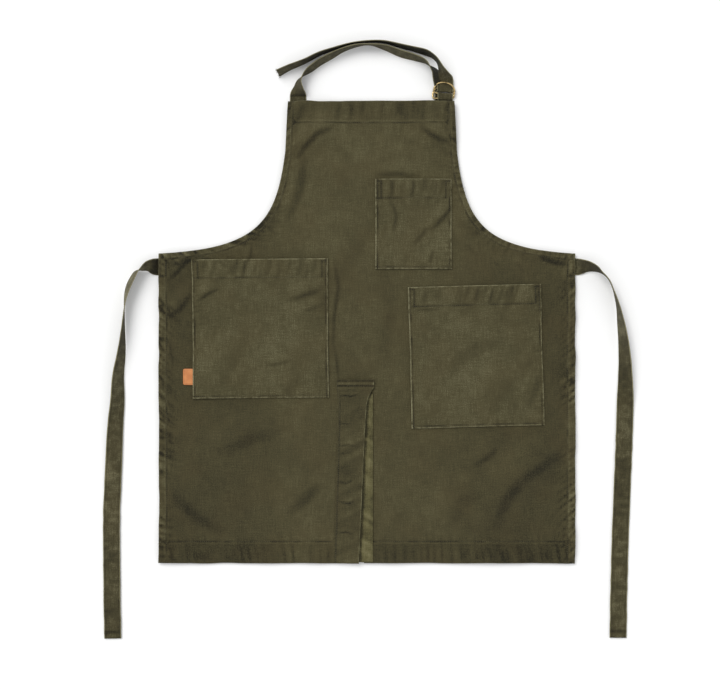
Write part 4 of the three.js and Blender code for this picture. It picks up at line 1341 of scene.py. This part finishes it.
def floor_sections(stations, width):
    """Centres, directions across and normals of a band on the floor; stations are (x, y, tilt, lift)."""
    even, heading = smooth_run([s if len(s) == 4 else (*s, 0.0) for s in stations])
    tilt = np.radians(even[:, 2])
    lift = np.maximum(even[:, 3], 0)
    z = lift + (width * np.abs(np.sin(tilt)) + STRAP_THICK * np.abs(np.cos(tilt))) / 2
    left = np.stack((-heading[:, 1], heading[:, 0], np.zeros(len(z))), axis=1)
    up = np.array((0.0, 0.0, 1.0))
    centre = np.stack((even[:, 0], even[:, 1], z), axis=1)
    across = left * np.cos(tilt)[:, None] + up * np.sin(tilt)[:, None]
    normal = up * np.cos(tilt)[:, None] - left * np.sin(tilt)[:, None]
    return centre, across, normal


def bar_points(bar, start, stop, steps):
    """Rows (y, z, angle) of a band wrapped round a ring's bar, between two angles in degrees."""
    angle = np.radians(np.linspace(start, stop, steps + 1))
    return np.stack((bar[0] + WRAP * np.cos(angle), bar[1] + WRAP * np.sin(angle), angle), axis=1)


def bar_sections(rows, x, across_x):
    """Sections of a band in the upright plane through x; rows are (y, z, angle round a bar)."""
    rows = np.array(rows)
    centre = np.stack((np.full(len(rows), x), rows[:, 0], rows[:, 1]), axis=1)
    across = np.tile((across_x, 0.0, 0.0), (len(rows), 1))
    normal = np.stack((np.zeros(len(rows)), -np.cos(rows[:, 2]), -np.sin(rows[:, 2])), axis=1)
    return centre, across, normal


def lean_in(points):
    """Points moved towards the panel's middle in step with their height, so that upright bands lean in."""
    points = np.array(points, float)
    points[:, :2] -= (points[:, :2] - LOOK_MM) * points[:, 2:] / (camera.location.z / MM)
    return points


# Distances from a band's edge at which its mesh has points
BAND_LINES = (0.0, 0.4, 0.9, 1.5, 2.2, 2.9, 3.8, 5.5, 8.0, 11.0)
EDGE_STITCH = 2.6


def make_band(name, sections, width, seed, node, frayed=False, creases=(), painted_light_and_shade=()):
    """A folded canvas band with soft edges, sewn rows near both edges and a little unevenness.

    creases are places along it, counted back from its end where negative, each with a line of painted
    shade; the stretches of painted light and shade are (start, end, amount), below 0 for painted shade and
    above 0 for painted highlight.
    """
    centre, across, normal = sections
    along = run_along(centre)
    edge_lines = width / 2 - np.array(BAND_LINES)
    share = np.concatenate((-edge_lines, [0.0], edge_lines[::-1])) / (width / 2)
    columns = len(share) - 1
    s = np.repeat(along, columns + 1)
    w = np.tile(share * width / 2, len(along))
    d = width / 2 - np.abs(w)
    seam = hump(d - EDGE_STITCH, 0.9)
    pucker = noise(s, w * 0.6, 7.0, seed) + 0.6 * noise(s, w, 3.6, seed + 1)
    soft = noise(s, w * 0.5, 38.0, seed + 2)
    edge = hump(d, 0.75)
    half = STRAP_THICK / 2 * (1 - 0.62 * edge) - 0.16 * seam + 0.1 * pucker * np.clip(d / 2, 0, 1)
    bow = 0.35 * soft * np.clip(d / 6, 0, 1)
    waver = 0.3 * ripple(s, 16.0, seed + 3) * np.abs(w) / (width / 2)
    c = np.repeat(centre, columns + 1, axis=0)
    a = np.repeat(across, columns + 1, axis=0)
    n = np.repeat(normal, columns + 1, axis=0)
    flat_on_floor = np.abs(n[:, 2])
    bow = bow * (1 - 0.8 * flat_on_floor) + 0.12 * flat_on_floor * np.abs(soft)
    body_line = c + a * (w + waver)[:, None] + n * bow[:, None]
    top = body_line + n * half[:, None]
    bottom = body_line - n * half[:, None]
    top[:, 2] = np.maximum(top[:, 2], 0.05)
    bottom[:, 2] = np.maximum(bottom[:, 2], 0.0)
    # Pale edges, partly rubbed and partly painted highlight; painted light and shade on the puckers;
    # painted shade in the stitch grooves
    wear_and_shade = 2.8 * hump(d, 1.1) + 0.3 * pucker - 0.5 * seam + 0.2 * soft
    # A line of painted shade across the band at each crease
    for crease in creases:
        wear_and_shade = wear_and_shade - 1.0 * hump(s - crease % along[-1], 2.4)
    # Stretches of painted light and shade along the band
    for start, end, tone in painted_light_and_shade:
        wear_and_shade = wear_and_shade + tone * smoothstep(start, start + 12, s) * smoothstep(end + 8, end, s)
    top, bottom = lean_in(top), lean_in(bottom)
    uv = np.stack((w + seed, s), axis=1) * MM
    faces = grid_faces(columns, len(along) - 1)[:, ::-1]
    obj = sheet_piece(name, top, bottom, faces, uv, wear_and_shade, STRAP_CANVAS, "webbing", node)
    stitches = band_stitches(centre, across, normal, along, width)
    stitch = dress(stitch_mesh(name + "_stitches", stitches), THREAD, "webbing")
    if frayed:
        tip = lean_in(centre[-2:])
        make_fray(name + "_fray", tip[1], across[-1], tip[1] - tip[0], width)


def band_stitches(centre, across, normal, along, width):
    """Stitches in two rows on both faces of a band, but for those that touch the floor."""

    def between(where, table):
        return np.array([np.interp(where, along, table[:, axis]) for axis in range(3)])

    stitches = []
    for side in (-1, 1):
        row = centre + across * side * (width / 2 - EDGE_STITCH)
        for face in (-1, 1):
            for k in range(int(along[-1] / STITCH_PITCH)):
                ends, ways = [], []
                for move in (-STITCH_LENGTH / 2, STITCH_LENGTH / 2):
                    where = (k + 0.5) * STITCH_PITCH + move
                    ways.append(between(where, normal) * face)
                    ends.append(between(where, row) + ways[-1] * (STRAP_THICK / 2 - 0.1))
                if min(ends[0][2], ends[1][2]) > 0.5:
                    stitches.append((*lean_in(ends), ways[0]))
    return stitches


FRAY_THREADS, FRAY_ROWS, FRAY_SIDES = 46, 4, 4


def make_fray(name, centre, across, out, width):
    """Loose thread ends at a cut end."""
    random = np.random.default_rng(7)
    out = out / np.linalg.norm(out)
    side = np.cross(across, out)
    verts, faces, uv = [], [], []
    for _ in range(FRAY_THREADS):
        start = centre + across * random.uniform(-0.48, 0.48) * width + side * random.uniform(-0.5, 0.5)
        length = random.uniform(0.8, 2.8)
        bend = across * random.normal(0, 0.35) + side * random.normal(0, 0.35)
        faces += tube_faces(len(verts), FRAY_ROWS, FRAY_SIDES)
        for k in range(FRAY_ROWS):
            t = k / (FRAY_ROWS - 1)
            middle = start - out * 0.8 + out * (length + 0.8) * t + bend * length * t * t
            middle[2] = max(middle[2], 0.2)
            size = 0.2 * (1 - 0.6 * t)
            for j in range(FRAY_SIDES):
                angle = 2 * math.pi * j / FRAY_SIDES
                verts.append(middle + size * (across * math.cos(angle) + side * math.sin(angle)))
                uv.append((middle[0] * MM, middle[1] * MM))
    return dress(build(name, np.array(verts), faces, np.array(uv)), THREAD, "webbing")


def join_sections(*parts):
    return tuple(np.concatenate([part[k] for part in parts]) for k in range(3))


def neck_stations(run):
    return [(BIB_SHIFT + row[0] * 2 * BIB_HALF, PANEL_LENGTH + row[1] * NECK_RISE, row[2],
             (row[3] if len(row) > 3 else 0) * STRAP_WIDTH) for row in run]


# The strap's and the tab's lower runs lie a little aside of their upper ones; the stretches in painted
# shade and the painted shade lines at creases follow, in millimetres along each band
UNDER_SHIFT = 4.0
UNDER_TAB_SHIFT = 5.0
UNDER_APPROACH = 6.0
# The tab's rows over which that shift fades: the row at which it ends, and how many
SHIFT_END, SHIFT_ROWS = 23, 9
SKEW = 0.5 * math.sin(math.radians(-UPPER_TURN))
STRAP_CREASE = 9.6
UNDER_SHADE_LENGTH = 62
TAIL_SHADE_START, TAIL_SHADE_END = 75, 40
TAB_SHADE_END = 38

under_x = TAB_X - UNDER_SHIFT
main_run = floor_sections(
    [*((STRAP_X, PANEL_LENGTH + up, 0) for up in (-STRAP_TUCK, 0, STRAP_FLAT)), *neck_stations(NECK_RUN),
     (under_x, RING_TOP - UNDER_APPROACH, 0), (under_x, TURN_BAR[0], 0)],
    STRAP_WIDTH,
)
turn_run = bar_sections(bar_points(TURN_BAR, 270, 90, 12)[1:-1], TAB_X, 1.0)
turn_run[0][:, 0] -= np.linspace(UNDER_SHIFT, 0, len(turn_run[0]))
turn_run[1][:, 1] = -SKEW
tail_run = floor_sections(
    [*((TAB_X, y, 180, OVER_RING) for y in (TURN_BAR[0], RING_TOP + WIRE)), *neck_stations(TAIL_RUN)],
    STRAP_WIDTH,
)
under_length = steps_of(main_run[0]).sum()
strap_length = under_length + steps_of(tail_run[0]).sum()
# The strap's under run near the rings and its tail's face in painted shade, and a line of painted shade at
# its crease
make_band(
    "neck_strap_cloth", join_sections(main_run, turn_run, tail_run), STRAP_WIDTH, 311, "neck_strap", True,
    creases=(STRAP_TUCK + STRAP_CREASE,),
    painted_light_and_shade=((under_length - UNDER_SHADE_LENGTH, under_length, -1.0),
           (under_length + TAIL_SHADE_START, strap_length - TAIL_SHADE_END, -0.5)),
)

slope = math.degrees(math.atan2(UPPER_BAR[1] - LOWER_BAR[1], UPPER_BAR[0] - LOWER_BAR[0]))
leg_end = PANEL_LENGTH - STRAP_TUCK
under_leg, over_leg = STRAP_THICK / 2, STRAP_THICK * 1.5 + GAP
tab_rows = [
    *[(y, under_leg, -math.pi / 2) for y in np.linspace(leg_end, LOWER_BAR[0] - 1, 10)],
    *bar_points(LOWER_BAR, -90, -90 + slope, 3),
    *bar_points(UPPER_BAR, -90 + slope, 90 + slope, 14),
    *bar_points(LOWER_BAR, 90 + slope, 150, 5),
    (PANEL_LENGTH + GAP, over_leg, math.pi * 0.66),
    *[(y, over_leg, math.pi / 2) for y in np.linspace(PANEL_LENGTH - 2, leg_end, 10)],
]
tab_sections = bar_sections(tab_rows, TAB_X, -1.0)
tab_sections[1][:, 1] = SKEW * smoothstep(LOWER_BAR[0], UPPER_BAR[0] - 1, tab_sections[0][:, 1])
under_share = np.clip((SHIFT_END - np.arange(len(tab_rows))) / SHIFT_ROWS, 0, 1)
tab_sections[0][:, 0] -= UNDER_TAB_SHIFT * under_share
# The tab's lower leg in painted shade under the rings
tab_painted_shade = ((-12, TAB_SHADE_END, -1.0),)
make_band("ring_tab_cloth", tab_sections, RING_TAB_WIDTH, 331, "ring_tab", painted_light_and_shade=tab_painted_shade)

TIE_LIFT = 2.5
# A line of painted shade near each tie's end
TIE_END_CREASE = -11.0
# Side, stations, node, seed, and the stretches of painted light and shade along it
TIES = (
    (-1, LEFT_TIE_RUN, "left_waist_tie", 401, ((-12, 38, -0.9), (52, 140, 0.7), (150, 210, -0.25))),
    (1, RIGHT_TIE_RUN, "right_waist_tie", 433, ((26, 90, -0.3), (130, 190, 0.35))),
)
for side, run, node, seed, painted_light_and_shade in TIES:
    flat_part = ((-TIE_TUCK, 0), (0, 0), (4, side * 8))
    stations = [(side * (SKIRT_HALF + out), TIE_Y, tilt) for out, tilt in flat_part]
    for out, down, tilt in run:
        stations.append((side * (SKIRT_HALF + out * TIE_REACH), TIE_Y - down * TIE_DROP, tilt, TIE_LIFT))
    sections = floor_sections(stations, TIE_WIDTH)
    make_band(node + "_cloth", sections, TIE_WIDTH, seed, node, creases=(TIE_END_CREASE,), painted_light_and_shade=painted_light_and_shade)

# D-rings


def arc(middle, across, up, start, stop, count):
    """Points of a round or oval arc between two angles in degrees."""
    angles = np.radians(np.linspace(start, stop, count))
    return [(middle[0] + across * math.cos(a), middle[1] + up * math.sin(a)) for a in angles]


def ring_outline(count):
    """Evenly spaced points of a D-ring's middle line, from its bar round."""
    half, corner = (RING_WIDTH - WIRE) / 2, RING_CORNER
    points = [(x, 0.0) for x in np.linspace(-half + corner, half - corner, 20)]
    points += arc((half - corner, corner), corner, corner, -90, 0, 8)
    points += arc((0, RING_SIDE), half, RING_RISE - RING_SIDE, 0, 180, 60)
    points += arc((corner - half, corner), corner, corner, 180, 270, 8)
    points = np.array(points + points[:1])
    run = run_along(points)
    where = np.linspace(0, run[-1], count, endpoint=False)
    return np.stack((np.interp(where, run, points[:, 0]), np.interp(where, run, points[:, 1])), axis=1)


def make_ring(name, node, bar, tilt, turn):
    """A ring of round wire on its bar, tilted up and turned by degrees."""
    count, sides = 144, 16
    path = ring_outline(count)
    slope_xy = np.roll(path, -1, axis=0) - np.roll(path, 1, axis=0)
    slope_xy /= np.linalg.norm(slope_xy, axis=1)[:, None]
    verts, uv = [], []
    lean, turned = math.radians(tilt), math.radians(turn)
    for k in range(count):
        out = np.array((slope_xy[k, 1], -slope_xy[k, 0], 0))
        for j in range(sides):
            angle = 2 * math.pi * j / sides
            round_wire = out * math.cos(angle) + np.array((0, 0, math.sin(angle)))
            p = np.array((*path[k], 0)) + RING_WIRE / 2 * round_wire
            x = p[0] * math.cos(turned) - p[1] * math.sin(turned)
            y = p[0] * math.sin(turned) + p[1] * math.cos(turned)
            verts.append((TAB_X + RING_SHIFT + x, bar[0] + y * math.cos(lean) - p[2] * math.sin(lean),
                          bar[1] + y * math.sin(lean) + p[2] * math.cos(lean)))
            uv.append((k / count, j / sides))
    faces = []
    for k in range(count):
        for j in range(sides):
            a, b = k * sides + j, k * sides + (j + 1) % sides
            c, d = (k + 1) % count * sides + (j + 1) % sides, (k + 1) % count * sides + j
            faces.append((a, d, c, b))
    return dress(build(name, lean_in(verts), faces, np.array(uv)), BRASS, "brass", node)


make_ring("lower_ring", "d_ring_lower", LOWER_BAR, 0.0, 0.0)
make_ring("upper_ring", "d_ring_upper", UPPER_BAR, RING_TILT, UPPER_TURN + EXTRA_TURN)

# Floor and light

FLOOR_HALF = 40.0
LIGHT_COLOUR = (1.0, 0.99, 0.97)
SUN_AZIMUTH, SUN_ELEVATION, SUN_SPREAD, SUN_POWER = 131, 58, 32, 1.55
FILL_PLACE, FILL_SIZE, FILL_POWER = (-0.9, 1.2, 2.4), 0.9, 5
SKY_COLOUR, SKY_POWER = (0.98, 0.99, 1.0, 1), 0.81


def make_floor():
    mesh = bpy.data.meshes.new("floor")
    corners = [(FLOOR_HALF * x, FLOOR_HALF * y, 0) for x, y in ((-1, -1), (1, -1), (1, 1), (-1, 1))]
    mesh.from_pydata(corners, [], [(0, 1, 2, 3)])
    floor = bpy.data.objects.new("floor", mesh)
    bpy.context.scene.collection.objects.link(floor)
    s = Shader("pale_floor")
    tone = s.noise(s.own_place(), 3.0)
    s.links.new(s.mix(tone, grey(0.85), grey(0.87)), s.surface.inputs["Base Color"])
    s.surface.inputs["Roughness"].default_value = 0.9
    s.surface.inputs["Specular IOR Level"].default_value = 0.1
    mesh.materials.append(s.material)


def add_light(name, kind, power, towards):
    """A light of the shared colour that shines against a direction."""
    data = bpy.data.lights.new(name, kind)
    data.energy = power
    data.color = LIGHT_COLOUR
    light = bpy.data.objects.new(name, data)
    light.rotation_euler = (-Vector(towards)).to_track_quat("-Z", "Y").to_euler()
    bpy.context.scene.collection.objects.link(light)
    return light


def add_sun():
    """Soft studio light from one side; the azimuth is counted from the right, upwards."""
    a, e = math.radians(SUN_AZIMUTH), math.radians(SUN_ELEVATION)
    towards = (math.cos(a) * math.cos(e), math.sin(a) * math.cos(e), math.sin(e))
    add_light("key", "SUN", SUN_POWER, towards).data.angle = math.radians(SUN_SPREAD)


def add_fill():
    light = add_light("top_left", "AREA", FILL_POWER, FILL_PLACE)
    light.location = FILL_PLACE
    light.data.shape = "DISK"
    light.data.size = FILL_SIZE


make_floor()
add_sun()
add_fill()
world = bpy.data.worlds.new("studio")
world.use_nodes = True
sky = world.node_tree.nodes["Background"]
sky.inputs["Color"].default_value = SKY_COLOUR
sky.inputs["Strength"].default_value = SKY_POWER
bpy.context.scene.world = world
bpy.context.scene.view_settings.view_transform = "Standard"
